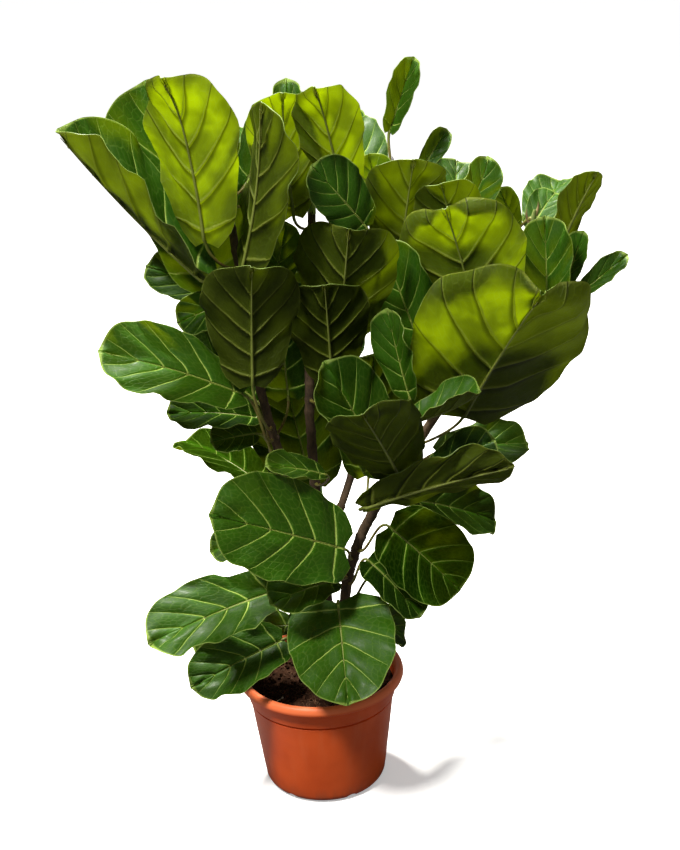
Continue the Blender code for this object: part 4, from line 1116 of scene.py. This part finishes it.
def turned(name: str, profile: Sequence[tuple[float, float]], steps: int) -> bpy.types.Object:
    """Turn a profile of (radius, height) pairs round the upright axis into a closed piece.

    Args:
        name: Name of the piece.
        profile: Radius and height pairs that start and end on the axis.
        steps: Number of sides.

    Returns:
        The closed piece.
    """
    clear_selection()
    bpy.ops.mesh.primitive_plane_add(size=0.01)
    piece = take(name)
    mesh = piece.data
    mesh.clear_geometry()
    mesh.from_pydata([(radius, 0.0, height) for radius, height in profile],
                     [(i, i + 1) for i in range(len(profile) - 1)], [])
    pick([piece])
    bpy.ops.object.mode_set(mode="EDIT")
    bpy.ops.mesh.select_all(action="SELECT")
    bpy.ops.mesh.spin(steps=steps, angle=TAU, center=(0, 0, 0), axis=(0, 0, 1), dupli=False,
                      use_auto_merge=True)
    bpy.ops.object.mode_set(mode="OBJECT")
    clean(piece)
    return piece


def settle_in(piece: bpy.types.Object, slot: str, *nodes: str) -> None:
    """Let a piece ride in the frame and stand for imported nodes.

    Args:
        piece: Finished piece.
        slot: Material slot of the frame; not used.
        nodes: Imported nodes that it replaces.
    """
    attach(piece, "root")
    if nodes:
        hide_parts(*nodes)
    LOG.info("%s: %d faces", piece.name, len(piece.data.polygons))


# ---------------------------------------------------------------- leaves
@dataclass(frozen=True)
class Lip:
    """How far a blade's margin rolls up, and over which part of its length."""

    rise: float = 0.003
    start: float = 0.25
    stop: float = 1.0


LIPS = {
    "leaf_front_1": Lip(0.024, 0.25), "leaf_left_1": Lip(0.016, 0.35), "leaf_middle_1": Lip(0.020, 0.30),
    "leaf_left_6": Lip(0.006, 0.1), "leaf_left_2": Lip(0.006, 0.3), "leaf_centre_1": Lip(0.008, 0.4),
    "leaf_centre_3": Lip(0.008, 0.3), "leaf_right_3": Lip(0.006, 0.2), "leaf_front_2": Lip(0.006, 0.2),
}


# Painted shade on the left and the right half of the leaves in front of the key lamp, which dims the light
# that shines through them; 0 is no painted shade, so the glow is full and bright
HALVES = {"leaf_front_1": (0.16, 0.80), "leaf_left_1": (0.0, 0.0), "leaf_middle_1": (0.0, 0.0),
          "leaf_centre_1": (0.20, 0.05), "leaf_centre_6": (0.0, 0.0)}
# Painted shade on the leaves deep in the plant, which the leaves above keep in shadow; 0 to 1
PAINTED_SHADE = {
    "leaf_left_9": 0.70, "leaf_left_10": 0.70, "leaf_left_11": 0.70, "leaf_left_12": 0.75,
    "leaf_left_13": 0.45, "leaf_left_14": 0.50, "leaf_left_15": 0.60, "leaf_left_17": 0.60,
    "leaf_left_18": 0.85, "leaf_centre_4": 0.45, "leaf_centre_5": 0.40, "leaf_centre_7": 0.55,
    "leaf_centre_8": 0.60, "leaf_centre_9": 0.60, "leaf_north_2": 0.40, "leaf_north_3": 0.50,
    "leaf_front_4": 0.25, "leaf_right_3": 0.85, "leaf_right_4": 0.60, "leaf_right_5": 0.70,
    "leaf_right_6": 0.60, "leaf_right_7": 0.60, "leaf_right_8": 0.45, "leaf_right_9": 0.35,
    "leaf_right_11": 0.60, "leaf_right_13": 0.70,
}


@dataclass
class Foliage:
    """All leaves and leafy shoot tips."""

    groups: Groups
    thickness: float = 0.0008
    vein_sink: float = 0.0017
    quilt: float = 0.0105
    frill: float = 0.010
    crumple: float = 0.008
    long_leaf: float = 0.13      # from here on a blade has one more pair of side veins
    wide_leaf: float = 0.16      # from here on a blade has all columns
    old: tuple[float, float] = (0.25, 0.95)
    sheath_count: int = 4
    sheath_spacing: float = 0.014
    sheath_length: float = 0.019
    finishes: dict = field(default_factory=dict)

    def dress(self, piece: bpy.types.Object, pairs: int) -> None:
        """Give a blade its materials, and make those of its stalk and midrib ready.

        Args:
            piece: Blade.
            pairs: Number of side vein pairs.
        """
        if pairs not in self.finishes:
            self.finishes[pairs] = (UPPER.make(f"leaf_upper_{pairs}", pairs, self.groups),
                                    UNDER.make(f"leaf_under_{pairs}", pairs, self.groups))
        if "margin" not in self.finishes:
            self.finishes["margin"] = MARGIN.make("leaf_margin", self.groups)
            self.finishes["midrib"] = MIDRIB.make("leaf_midrib", self.groups)
            self.finishes["stalk"] = STALK.make("leaf_stalk", self.groups)
        paint(piece, *self.finishes[pairs], self.finishes["margin"])

    def rows(self, pairs: int) -> np.ndarray:
        """Where the mesh rows of a blade start on its midrib, close together at each side vein.

        Args:
            pairs: Number of side vein pairs.

        Returns:
            Rising places from 0 to 1.
        """
        rows = {0.0, 1.0, 0.985}
        for order in range(-1, pairs + 1):
            for part in VEIN_ROWS:
                row = (order + VEIN_OFFSET + part) / pairs
                if 0.008 < row < 0.975:
                    rows.add(round(row, 5))
        return np.array(sorted(rows))

    def blade(self, name: str, leaf: Blade) -> bpy.types.Object:
        """Model a blade: a grid shaped to the leaf's surface, with sunk veins and a rolled margin.

        Args:
            name: Name of the piece.
            leaf: The settled leaf.

        Returns:
            The painted blade.
        """
        pairs = 6 if leaf.length >= self.long_leaf else 5
        rows = self.rows(pairs)
        half = np.array(COLUMNS if leaf.length >= self.wide_leaf else COLUMNS[::2] + COLUMNS[-1:])
        columns = np.concatenate([half[::-1], -half[1:]])
        clear_selection()
        bpy.ops.mesh.primitive_grid_add(x_subdivisions=len(columns) - 1, y_subdivisions=len(rows) - 1,
                                        size=leaf.length)
        piece = take(name)
        points, reach, rim = leaf.fine(rows, columns)
        points = self.relief(name, leaf, points, rows, columns, pairs, np.clip((reach + rim) / 0.035, 0, 1))
        write_points(piece, points.reshape(-1, 3))
        row, across = np.meshgrid(rows, columns, indexing="ij")
        write_uv(piece, "blade", np.stack([0.5 + 0.5 * across, row], -1).reshape(-1, 2))
        write_uv(piece, "reach", np.stack([10 * reach, 10 * rim], -1).reshape(-1, 2))
        # The first tone value is a random tint; leaves deep in the plant get a negative value instead, which
        # the leaf material turns into painted shade.
        tint_and_painted_shade = leaf.chance.uniform(0.0, 0.5)
        if name in PAINTED_SHADE:
            tint_and_painted_shade = -PAINTED_SHADE[name]
        # Listed leaves take painted shade on each half, in place of a random age.
        if name in HALVES:
            ages_and_painted_shade = HALVES[name]
        else:
            ages_and_painted_shade = (leaf.chance.uniform(*self.old),) * 2
        right = np.clip(0.5 + across * np.sign(leaf.side[0]) / 0.12, 0, 1)
        age_and_painted_shade = ages_and_painted_shade[0] + (ages_and_painted_shade[1] - ages_and_painted_shade[0]) * right
        write_uv(piece, "tone", np.stack([np.full(age_and_painted_shade.shape, tint_and_painted_shade), age_and_painted_shade], -1).reshape(-1, 2))
        wall = piece.modifiers.new("thickness", "SOLIDIFY")
        wall.thickness = self.thickness
        wall.offset = 0.0
        wall.use_even_offset = False
        wall.material_offset = 1
        wall.material_offset_rim = 2
        self.dress(piece, pairs)
        apply_all(piece)
        smooth(piece, 60.0)
        return piece

    def relief(self, name: str, leaf: Blade, points: np.ndarray, rows: np.ndarray, columns: np.ndarray,
               pairs: int, room: np.ndarray) -> np.ndarray:
        """Sink the veins, raise the blade between them and roll the margin.

        Args:
            name: Name of the leaf's node.
            leaf: The settled leaf.
            points: Smooth surface points, by row and column.
            rows: Start of each row on the midrib.
            columns: Place of each column from margin to margin.
            pairs: Number of vein pairs.
            room: How much of the lip and frill each row has room for, 0 to 1.

        Returns:
            The finished surface points.
        """
        row, across = np.meshgrid(rows, columns, indexing="ij")
        size = np.abs(across)
        ahead = np.gradient(points, axis=0)
        beside = np.gradient(points, axis=1)
        normals = np.cross(beside, ahead)
        normals = normals / np.maximum(np.linalg.norm(normals, axis=-1, keepdims=True), 1e-12)
        if np.mean(normals @ leaf.normal) < 0:
            normals = -normals
        order = row * pairs - VEIN_OFFSET
        away = np.abs(order - np.round(order))
        scale = leaf.length / 0.25
        ends = np.clip(row / 0.06, 0, 1) * np.clip((1 - row) / 0.08, 0, 1)
        bulge = np.sin(np.pi * away) ** 1.3 * size ** 0.7 * np.clip((1 - size) / 0.35, 0, 1) ** 0.8
        sink = np.exp(-(away / 0.05) ** 2) * (1 - 0.85 * size) + 1.4 * np.exp(-(size / 0.03) ** 2)
        wave = np.zeros_like(row)
        start = 1 - (1 - row) ** SWEEP
        for side in (-1, 1):
            first, second = leaf.chance.uniform(0, TAU), leaf.chance.uniform(0, TAU)
            count = leaf.chance.uniform(2.8, 4.2)
            there = np.sin(TAU * count * start + first) + 0.3 * np.sin(TAU * 2.1 * count * start + second)
            wave = np.where(across * side > 0, there, wave)
        lip = LIPS.get(name, Lip())
        band = np.clip((size - 0.76) / 0.24, 0, 1) ** 1.8 * room
        along = np.clip((row - lip.start) / 0.15, 0, 1) * np.clip((lip.stop - row) / 0.05 + 0.35, 0, 1)
        height = scale * (self.quilt * 0.42 * bulge * ends - self.vein_sink * sink * ends)
        seed = leaf.chance.uniform(0, 50)
        uneven = np.array([[noise.noise(Vector((4.2 * a, 2.1 * b, seed))) for a, b in zip(*line)]
                           for line in zip(row, across)])
        height = height + scale * self.crumple * uneven * np.clip(size / 0.3, 0, 1) * ends
        height = height + scale * self.frill * 0.5 * wave * size ** 3 * ends * room + lip.rise * band * along
        out = beside / np.maximum(np.linalg.norm(beside, axis=-1, keepdims=True), 1e-12)
        out = -out * np.sign(across)[..., None]
        points = points + height[..., None] * normals
        return points - (0.35 * lip.rise * band * along)[..., None] * out

    def rib(self, name: str, leaf: Blade, bark: float) -> bpy.types.Object:
        """Model the stalk, which runs on as a midrib raised below the blade.

        Args:
            name: Name of the leaf.
            leaf: The settled leaf.
            bark: Radius of the stem there.

        Returns:
            The painted tube.
        """
        spine = leaf.stalk(bark)
        starts = np.linspace(0.02, 0.96, 18)
        middle, _, _ = leaf.fine(starts, np.array([0.0]))
        ahead = np.gradient(middle[:, 0], axis=0)
        ahead = unit(ahead)
        down = leaf.normal - ahead * (ahead @ leaf.normal)[:, None]
        sink = self.vein_sink * 1.4 * leaf.length / 0.25
        for start, centre, normal in zip(starts, middle[:, 0], unit(down)):
            radius = 0.0021 * (1 - start) ** 0.8 + 0.0004
            spine.append((centre - normal * (sink + self.thickness / 2 + 0.25 * radius), radius))
        piece = swept(name + "_rib", spine, 3)
        self.dress_rib(piece, 13)
        smooth(piece)
        return piece

    def dress_rib(self, piece: bpy.types.Object, stalk_rings: int) -> None:
        """Give the tube its stalk and midrib finishes, in the leaf's own material slots.

        Args:
            piece: Tube of stalk and midrib.
            stalk_rings: Number of rings that belong to the stalk.
        """
        paint(piece, self.finishes["stalk"], self.finishes["midrib"])
        sides = (len(piece.data.polygons) - 2) // (stalk_rings + 17)
        for face in piece.data.polygons:
            face.material_index = 0 if face.index < sides * (stalk_rings - 1) else 1

    def single(self) -> None:
        """Model each leaf that is a node of its own."""
        counts: dict[str, int] = {}
        for plan in LEAVES:
            counts[plan.stem] = counts.get(plan.stem, 0) + 1
            node = f"leaf_{plan.stem}_{counts[plan.stem]}"
            leaf = settled([plan], node)[0]
            body = self.blade(node, leaf)
            piece = join([body, self.rib(node, leaf, STEMS[plan.stem].radius(plan.height))])
            piece.name = piece.data.name = "fig_" + node
            settle_in(piece, "leaf_green", node)

    def shoot(self, name: str, stem: StemPath) -> bpy.types.Object:
        """Model the soft green end of a stem.

        Args:
            name: Name of the piece.
            stem: Stem that the shoot ends.

        Returns:
            The painted shoot.
        """
        top = stem.axis[-1][2]
        spine = []
        for height in np.linspace(stem.woody_top - 0.004, top - 0.001, 14):
            part = (height - stem.woody_top) / (top - stem.woody_top)
            spine.append((stem.point(height), stem.radius(height) * (1 - 0.62 * max(0.0, part) ** 2.5)))
        piece = swept(name, spine, 4)
        paint(piece, self.finishes["shoot"])
        smooth(piece)
        return piece

    def sheaths(self, name: str, stem: StemPath) -> list[bpy.types.Object]:
        """Model the brown sheaths that stand round a shoot's end.

        Args:
            name: Name of the shoot tip.
            stem: Stem that the shoot ends.

        Returns:
            The painted sheaths.
        """
        made = []
        chance = random.Random(len(name))
        top = stem.axis[-1][2]
        for number in range(self.sheath_count):
            height = top - 0.010 - self.sheath_spacing * number
            angle = 2.4 * number + chance.random()
            out = np.array((math.cos(angle), math.sin(angle), 0.0))
            foot = stem.point(height) + out * stem.radius(height) * 0.55
            spine = []
            long = self.sheath_length + 0.006 * chance.random()
            for part in np.linspace(0, 1, 7):
                centre = foot + np.array((0, 0, 1.0)) * long * part + out * 0.006 * math.sin(2.2 * part)
                spine.append((centre, 0.0027 * (1 - part ** 1.6) + 0.0003))
            sheath = swept(f"{name}_sheath_{number}", spine, 2)
            paint(sheath, self.finishes["sheath"])
            smooth(sheath)
            made.append(sheath)
        return made

    def tips(self) -> None:
        """Model each leafy shoot tip as one piece."""
        self.finishes["shoot"] = SHOOT.make("soft_shoot", self.groups)
        self.finishes["sheath"] = SHEATH.make("bud_sheath", self.groups)
        for label, plans in TIP_LEAVES.items():
            node, stem = f"tip_{label}", STEMS[label]
            heights = np.linspace(stem.woody_top, stem.axis[-1][2], 3)
            extra = np.array([stem.point(h) for h in heights])
            leaves = settled(plans, node, stem.point(stem.woody_top), extra)
            parts = []
            for number, leaf in enumerate(leaves):
                part = f"{node}_{number}"
                parts.append(self.blade(part, leaf))
                parts.append(self.rib(part, leaf, 0.003))
            parts.append(self.shoot(node + "_shoot", stem))
            parts += self.sheaths(node, stem)
            piece = join(parts)
            piece.name = piece.data.name = "fig_" + node
            settle_in(piece, "shoot_green", node)


# ---------------------------------------------------------------- stems
@dataclass
class Wood:
    """The three woody stems with their forks, joints and leaf scars."""

    groups: Groups
    step: float = 0.0035
    joint_swell: float = 0.16

    def joints(self, label: str) -> list[float]:
        """Heights of the stem where leaves stand or have stood.

        Args:
            label: Name of the stem.

        Returns:
            Heights above the floor.
        """
        heights = [plan.height for plan in LEAVES if plan.stem == label]
        stem = STEMS[label]
        chance = random.Random(len(label) + 5)
        height = stem.axis[0][2] + 0.02
        while height < stem.woody_top:
            if all(abs(height - other) > 0.018 for other in heights):
                heights.append(height)
            height += chance.uniform(0.026, 0.044)
        return heights

    def tube(self, label: str) -> bpy.types.Object:
        """Model one stem or fork with a swelling at each joint.

        Args:
            label: Name of the stem.

        Returns:
            The tube.
        """
        stem = STEMS[label]
        joints = np.array(self.joints(label))
        low, high = stem.axis[0][2], stem.woody_top + 0.003
        spine = []
        for height in np.linspace(low, high, round((high - low) / self.step)):
            near = joints - height
            swell = self.joint_swell * float(np.exp(-(near / 0.0032) ** 2).sum())
            groove = 0.05 * float(np.exp(-((near + 0.005) / 0.0016) ** 2).sum())
            uneven = 0.05 * noise.noise(Vector((height * 60, len(label), 0.5)))
            bend = 0.0012 * np.array((noise.noise(Vector((height * 22, len(label), 3.0))),
                                      noise.noise(Vector((height * 22, len(label), 9.0))), 0.0))
            fade = min(1.0, (height - low) / 0.03, (high - height) / 0.02)
            radius = stem.radius(height) * (0.97 + swell - groove + uneven)
            spine.append((stem.point(height) + bend * fade, radius))
        piece = swept(f"{label}_wood", spine, 5)
        points = read_points(piece)
        for index, point in enumerate(points):
            rough = noise.fractal(Vector((point[0] * 300, point[1] * 300, point[2] * 110)), 1.0, 2.0, 3)
            centre = stem.point(float(np.clip(point[2], low, high)))
            out = point - centre
            out[2] = 0.0
            points[index] = point + out / max(1e-6, float(np.linalg.norm(out))) * 0.00035 * rough
        write_points(piece, points)
        smooth(piece)
        return piece

    def make(self) -> None:
        """Model the stems."""
        bark = BARK.make("stem_bark", self.groups)
        for label, stem in STEMS.items():
            if stem.parent is not None:
                continue
            parts = [self.tube(label)]
            parts += [self.tube(other) for other, row in STEMS.items() if row.parent == label]
            piece = join(parts)
            piece.name = piece.data.name = f"fig_stem_{label}"
            paint(piece, bark)
            settle_in(piece, "stem_bark", f"stem_{label}")


# ---------------------------------------------------------------- pot and soil
@dataclass
class Pot:
    """The moulded nursery pot."""

    groups: Groups
    height: float = 0.197
    rim_radius: float = 0.135
    collar_radius: float = 0.1205
    wall_radius: float = 0.1180
    foot_radius: float = 0.0985
    wall: float = 0.0022
    groove_height: float = 0.153
    foot_curve: float = 0.0145
    steps: int = 144
    notches: int = 6
    notch_radius: float = 0.010
    notch_length: float = 0.030
    notch_angle: float = -66.0

    def side(self, height: float) -> float:
        """Outer radius of the tapered wall at a height."""
        return self.foot_radius + (self.wall_radius - self.foot_radius) * height / self.groove_height

    def profile(self) -> list[tuple[float, float]]:
        """Radius and height round the section, from the middle of the foot to that of the floor.

        Returns:
            Points of the section, from the axis to the axis.
        """
        top, groove, rim, collar = self.height, self.groove_height, self.rim_radius, self.collar_radius
        points = [(0.0, 0.0), (0.040, 0.0), (0.070, 0.0), (self.foot_radius - 0.012, 0.0)]
        for degrees in (12, 28, 44, 60, 76, 90):
            angle = math.radians(degrees)
            points.append((self.foot_radius - 0.0130 + self.foot_curve * math.sin(angle),
                           self.foot_curve * (1 - math.cos(angle))))
        for height in (0.024, 0.040, 0.060, 0.090, 0.115, 0.130, 0.1385):
            points.append((self.side(height), height))
        points += [(self.wall_radius - 0.0002, groove - 0.0042),
                   (self.wall_radius - 0.0034, groove - 0.0026),
                   (self.wall_radius - 0.0034, groove - 0.0004),
                   (collar - 0.0006, groove + 0.0006), (collar, groove + 0.0018),
                   (collar + 0.0008, top - 0.024),
                   (collar + 0.0011, top - 0.0165), (collar + 0.0022, top - 0.0150)]
        points += [(rim - 0.0050, top - 0.0150), (rim - 0.0026, top - 0.0146), (rim - 0.0008, top - 0.0132)]
        points += [(rim, top - 0.0110), (rim - 0.0002, top - 0.0085), (rim - 0.0012, top - 0.0048),
                   (rim - 0.0030, top - 0.0018), (rim - 0.0055, top - 0.0003), (rim - 0.0080, top)]
        points += [(rim - 0.0105, top - 0.0008), (rim - 0.0125, top - 0.0030),
                   (collar - 0.0005, top - 0.0090), (collar - 0.0015, top - 0.0140),
                   (collar - self.wall - 0.0008, groove + 0.0050),
                   (self.wall_radius - 0.0056, groove - 0.0010),
                   (self.wall_radius - 0.0060, groove - 0.0120)]
        inner = self.foot_radius - self.wall - 0.002
        points += [(inner + 0.006, 0.060), (inner, 0.012), (inner - 0.006, 0.006), (0.05, 0.006),
                   (0.0, 0.006)]
        return points

    def make(self) -> None:
        """Model the pot and cut its drain notches."""
        pot = turned("fig_pot", self.profile(), self.steps)
        cutters = []
        for number in range(self.notches):
            angle = math.radians(self.notch_angle) + TAU * number / self.notches
            reach = self.foot_radius - 0.004
            place = (reach * math.cos(angle), reach * math.sin(angle), -0.0010)
            clear_selection()
            bpy.ops.mesh.primitive_cylinder_add(vertices=32, radius=self.notch_radius,
                                                depth=self.notch_length,
                                                rotation=(0, math.pi / 2, angle), location=place)
            cutters.append(take(f"notch_{number}"))
        cutter = join(cutters)
        bpy.ops.object.transform_apply(location=True, rotation=True, scale=True)
        cut = pot.modifiers.new("notches", "BOOLEAN")
        cut.operation = "DIFFERENCE"
        cut.object = cutter
        apply_all(pot)
        bpy.data.objects.remove(cutter, do_unlink=True)
        clean(pot)
        smooth(pot, 32.0)
        paint(pot, PLASTIC.make("pot_plastic", self.groups))
        settle_in(pot, "pot_plastic", "pot")


@dataclass
class Soil:
    """The peat in the pot, with clods, fibres and fallen bits on it."""

    groups: Groups
    level: float = 0.170
    radius: float = 0.1168
    clods: int = 900
    fibres: int = 280
    twigs: tuple[Point, ...] = ((-0.070, -0.062, 0.9), (-0.045, -0.085, 2.1), (0.020, -0.094, 0.3))
    twig_length: float = 0.022

    def rise(self, x: float, y: float) -> float:
        """Height of the peat's surface.

        Args:
            x: Place to the right.
            y: Place to the back.

        Returns:
            Height above the floor.
        """
        share = math.hypot(x, y) / self.radius
        lumps = 0.0055 * noise.fractal(Vector((x * 45, y * 45, 2.0)), 1.0, 2.0, 4)
        fine = 0.0022 * noise.fractal(Vector((x * 260, y * 260, 7.0)), 1.0, 2.0, 2)
        return self.level + 0.003 * (1 - share) + (lumps + fine) * min(1.0, (1.02 - share) / 0.06)

    def bed(self) -> bpy.types.Object:
        """Model the body of peat.

        Returns:
            The painted body.
        """
        inner = 0.0933
        profile = [(0.0, 0.0075), (inner * 0.9, 0.0075), (inner, 0.014),
                   (self.radius - 0.0056, self.level - 0.012), (self.radius, self.level - 0.004)]
        profile += [(self.radius * share, self.level) for share in np.linspace(1.0, 0.0, 46)]
        piece = turned("fig_soil", profile, 180)
        points = read_points(piece)
        for point in points:
            if point[2] > self.level - 0.001:
                point[2] = self.rise(point[0], point[1])
        write_points(piece, points)
        smooth(piece, 70.0)
        paint(piece, SOIL.make("peat", self.groups))
        return piece

    def spot(self, chance: random.Random, share: float = 0.97) -> tuple[float, float]:
        """Choose a place on the surface."""
        angle, reach = chance.uniform(0, TAU), self.radius * share * math.sqrt(chance.random())
        return reach * math.cos(angle), reach * math.sin(angle)

    def crumbs(self) -> bpy.types.Object:
        """Model one clod and lay rough copies of it about.

        Returns:
            All clods as one painted piece.
        """
        chance = random.Random(23)
        clear_selection()
        bpy.ops.mesh.primitive_ico_sphere_add(subdivisions=2, radius=1.0)
        model = take("clod")
        shape = read_points(model)
        copies = []
        for number in range(self.clods):
            piece = model.copy()
            piece.data = model.data.copy()
            bpy.context.scene.collection.objects.link(piece)
            size = 0.0010 + 0.0046 * chance.random() ** 2.6
            shift = Vector((number * 3.1, number * 1.7, 0.0))
            uneven = np.array([0.72 + 0.45 * noise.noise(Vector(point) * 1.4 + shift) for point in shape])
            stretch = np.array((chance.uniform(0.7, 1.5), chance.uniform(0.7, 1.3),
                                chance.uniform(0.5, 0.9)))
            spin = turn((chance.random(), chance.random(), 1.0), chance.uniform(0, TAU))
            x, y = self.spot(chance)
            place = np.array((x, y, self.rise(x, y) + 0.15 * size))
            write_points(piece, (shape * uneven[:, None] * stretch * size) @ spin.T + place)
            copies.append(piece)
        bpy.data.objects.remove(model, do_unlink=True)
        pile = join(copies)
        pile.name = pile.data.name = "fig_clods"
        smooth(pile, 50.0)
        paint(pile, CLOD.make("peat_clod", self.groups))
        return pile

    def strand(self, name: str, chance: random.Random, long: float, radius: float,
               lift: float) -> bpy.types.Object:
        """Model a thin curved strand that lies on the peat.

        Args:
            name: Name of the strand.
            chance: Source of its random numbers.
            long: Length.
            radius: Radius of its thick end.
            lift: Height of its middle above the peat.

        Returns:
            The strand.
        """
        x, y = self.spot(chance, 0.9)
        heading, bend = chance.uniform(0, TAU), chance.uniform(-2.2, 2.2)
        spine = []
        for part in np.linspace(0, 1, 7):
            angle = heading + bend * part
            x += math.cos(angle) * long / 6
            y += math.sin(angle) * long / 6
            if math.hypot(x, y) > self.radius - 0.004:
                x, y = 0.96 * x, 0.96 * y
            z = self.rise(x, y) + radius + lift * math.sin(math.pi * part)
            spine.append((np.array((x, y, z)), radius * (1.05 - 0.5 * part)))
        return swept(name, spine, 0)

    def litter(self) -> list[bpy.types.Object]:
        """Model the peat's fibres and the pale twigs.

        Returns:
            The painted fibres and the painted twigs.
        """
        chance = random.Random(31)
        strands = []
        for number in range(self.fibres):
            strands.append(self.strand(f"fibre_{number}", chance, chance.uniform(0.008, 0.026),
                                       chance.uniform(0.0002, 0.00045), 0.002))
        fibres = join(strands)
        fibres.name = fibres.data.name = "fig_fibres"
        paint(fibres, FIBRE.make("peat_fibre", self.groups))
        twigs = []
        for number, (middle_x, middle_y, heading) in enumerate(self.twigs):
            spine = []
            for part in np.linspace(0, 1, 8):
                x = middle_x + math.cos(heading) * self.twig_length * (part - 0.5)
                y = middle_y + math.sin(heading) * self.twig_length * (part - 0.5)
                z = self.rise(x, y) + 0.0022 + 0.0012 * math.sin(5 * part)
                spine.append((np.array((x, y, z)), 0.0010 + 0.0004 * math.sin(9 * part)))
            twigs.append(swept(f"twig_{number}", spine, 2))
        bits = join(twigs)
        bits.name = bits.data.name = "fig_twigs"
        smooth(bits)
        paint(bits, TWIG.make("dry_twig", self.groups))
        return [fibres, bits]

    def make(self) -> None:
        """Model the peat and all that lies on it."""
        settle_in(self.bed(), "potting_soil", "soil")
        settle_in(self.crumbs(), "potting_soil")
        for piece in self.litter():
            settle_in(piece, "potting_soil")


# ---------------------------------------------------------------- studio
@dataclass(frozen=True)
class Lamp:
    """A soft studio lamp that is aimed at a point."""

    name: str
    place: Point
    aim: Point
    size: float
    power: float
    colour: Point = (1.0, 1.0, 1.0)

    def make(self) -> None:
        """Hang the lamp."""
        clear_selection()
        bpy.ops.object.light_add(type="AREA", location=self.place)
        lamp = bpy.context.object
        lamp.name = self.name
        lamp.data.shape = "DISK"
        lamp.data.size = self.size
        lamp.data.energy = self.power
        lamp.data.color = self.colour
        heading = Vector(self.aim) - Vector(self.place)
        lamp.rotation_euler = heading.to_track_quat("-Z", "Y").to_euler()


LAMPS = (
    Lamp("key_lamp", (-0.45, 1.40, 4.0), (0.05, 0.0, 0.75), 0.50, 520.0, (1.0, 0.97, 0.90)),
    Lamp("front_lamp", (-1.1, -1.6, 3.4), (0.0, 0.0, 0.5), 0.6, 175.0, (1.0, 0.98, 0.93)),
)


@dataclass(frozen=True)
class Studio:
    """Floor, even room light, lamps and camera."""

    eye: Point = (0.0, -1.95, 1.326)
    pitch: float = 20.055
    yaw: float = 1.43
    roll: float = -2.508
    focal_share: float = 1355.2 / 850
    floor_shade: float = 0.86
    bounce_shade: float = 0.13
    floor_lift: float = 0.36
    far_lift: float = 0.80
    floor_radius: float = 60.0
    fill_light: float = 0.24
    horizon: float = 1.03
    sensor: float = 36.0

    def floor(self) -> None:
        """Lay a wide pale floor."""
        clear_selection()
        bpy.ops.mesh.primitive_circle_add(vertices=96, radius=self.floor_radius, fill_type="NGON")
        sweep = take("studio_floor")
        material = bpy.data.materials.new("studio_paper")
        material.use_nodes = True
        kit = Nodes(material.node_tree)
        seen = kit.add("LightPath").outputs["Is Camera Ray"]
        place = kit.add("TexCoord").outputs["Object"]
        away = kit.add("VectorMath", {0: place}, operation="LENGTH").outputs["Value"]
        lift = kit.ramp(away, 1.2, 4.5, self.floor_lift, self.far_lift)
        shade = kit.mix(seen, (self.bounce_shade,) * 3, (self.floor_shade,) * 3)
        shader = surface(kit, shade, 0.9, None, 0.0, Specular_IOR_Level=0.1,
                         Emission_Color=(1.0, 1.0, 1.0, 1.0),
                         Emission_Strength=kit.math("MULTIPLY", seen, lift))
        close_material(kit, shader.outputs[0])
        paint(sweep, material)

    def camera(self) -> None:
        """Set up the camera."""
        pitch, yaw, roll = (math.radians(a) for a in (self.pitch, self.yaw, self.roll))
        ahead = Vector((math.sin(yaw) * math.cos(pitch), math.cos(yaw) * math.cos(pitch), -math.sin(pitch)))
        level = Vector((math.cos(yaw), -math.sin(yaw), 0.0))
        upright = level.cross(ahead)
        right = math.cos(roll) * level + math.sin(roll) * upright
        over = math.cos(roll) * upright - math.sin(roll) * level
        clear_selection()
        bpy.ops.object.camera_add(location=self.eye)
        camera = bpy.context.object
        camera.name = "studio_camera"
        camera.rotation_euler = Matrix((right, over, -ahead)).transposed().to_euler()
        camera.data.sensor_fit = "AUTO"
        camera.data.sensor_width = self.sensor
        camera.data.lens = self.sensor * self.focal_share
        bpy.context.scene.camera = camera

    def air(self) -> None:
        """Give the room an even pale light."""
        world = bpy.context.scene.world or bpy.data.worlds.new("room")
        bpy.context.scene.world = world
        world.use_nodes = True
        kit = Nodes(world.node_tree)
        seen = kit.add("LightPath").outputs["Is Camera Ray"]
        strength = kit.ramp(seen, 0.0, 1.0, self.fill_light, self.horizon)
        back = kit.add("Background", {"Color": (1.0, 1.0, 0.97, 1.0), "Strength": strength})
        kit.add("OutputWorld", {"Surface": back.outputs[0]})

    def make(self) -> None:
        """Set up the studio."""
        self.floor()
        for lamp in LAMPS:
            lamp.make()
        self.air()
        self.camera()


def set_view() -> None:
    """Show colours as they are, with no film look."""
    bpy.context.scene.view_settings.view_transform = "Standard"


def main() -> None:
    """Build the plant in its pot, and the studio round it."""
    logging.basicConfig(level=logging.INFO, format="%(message)s")
    LOG.info("packed model: %d nodes", len(FRAME["nodes"]))
    groups = Groups()
    Pot(groups).make()
    Soil(groups).make()
    Wood(groups).make()
    foliage = Foliage(groups)
    foliage.single()
    foliage.tips()
    Studio().make()
    set_view()


if __name__ == "__main__":
    main()
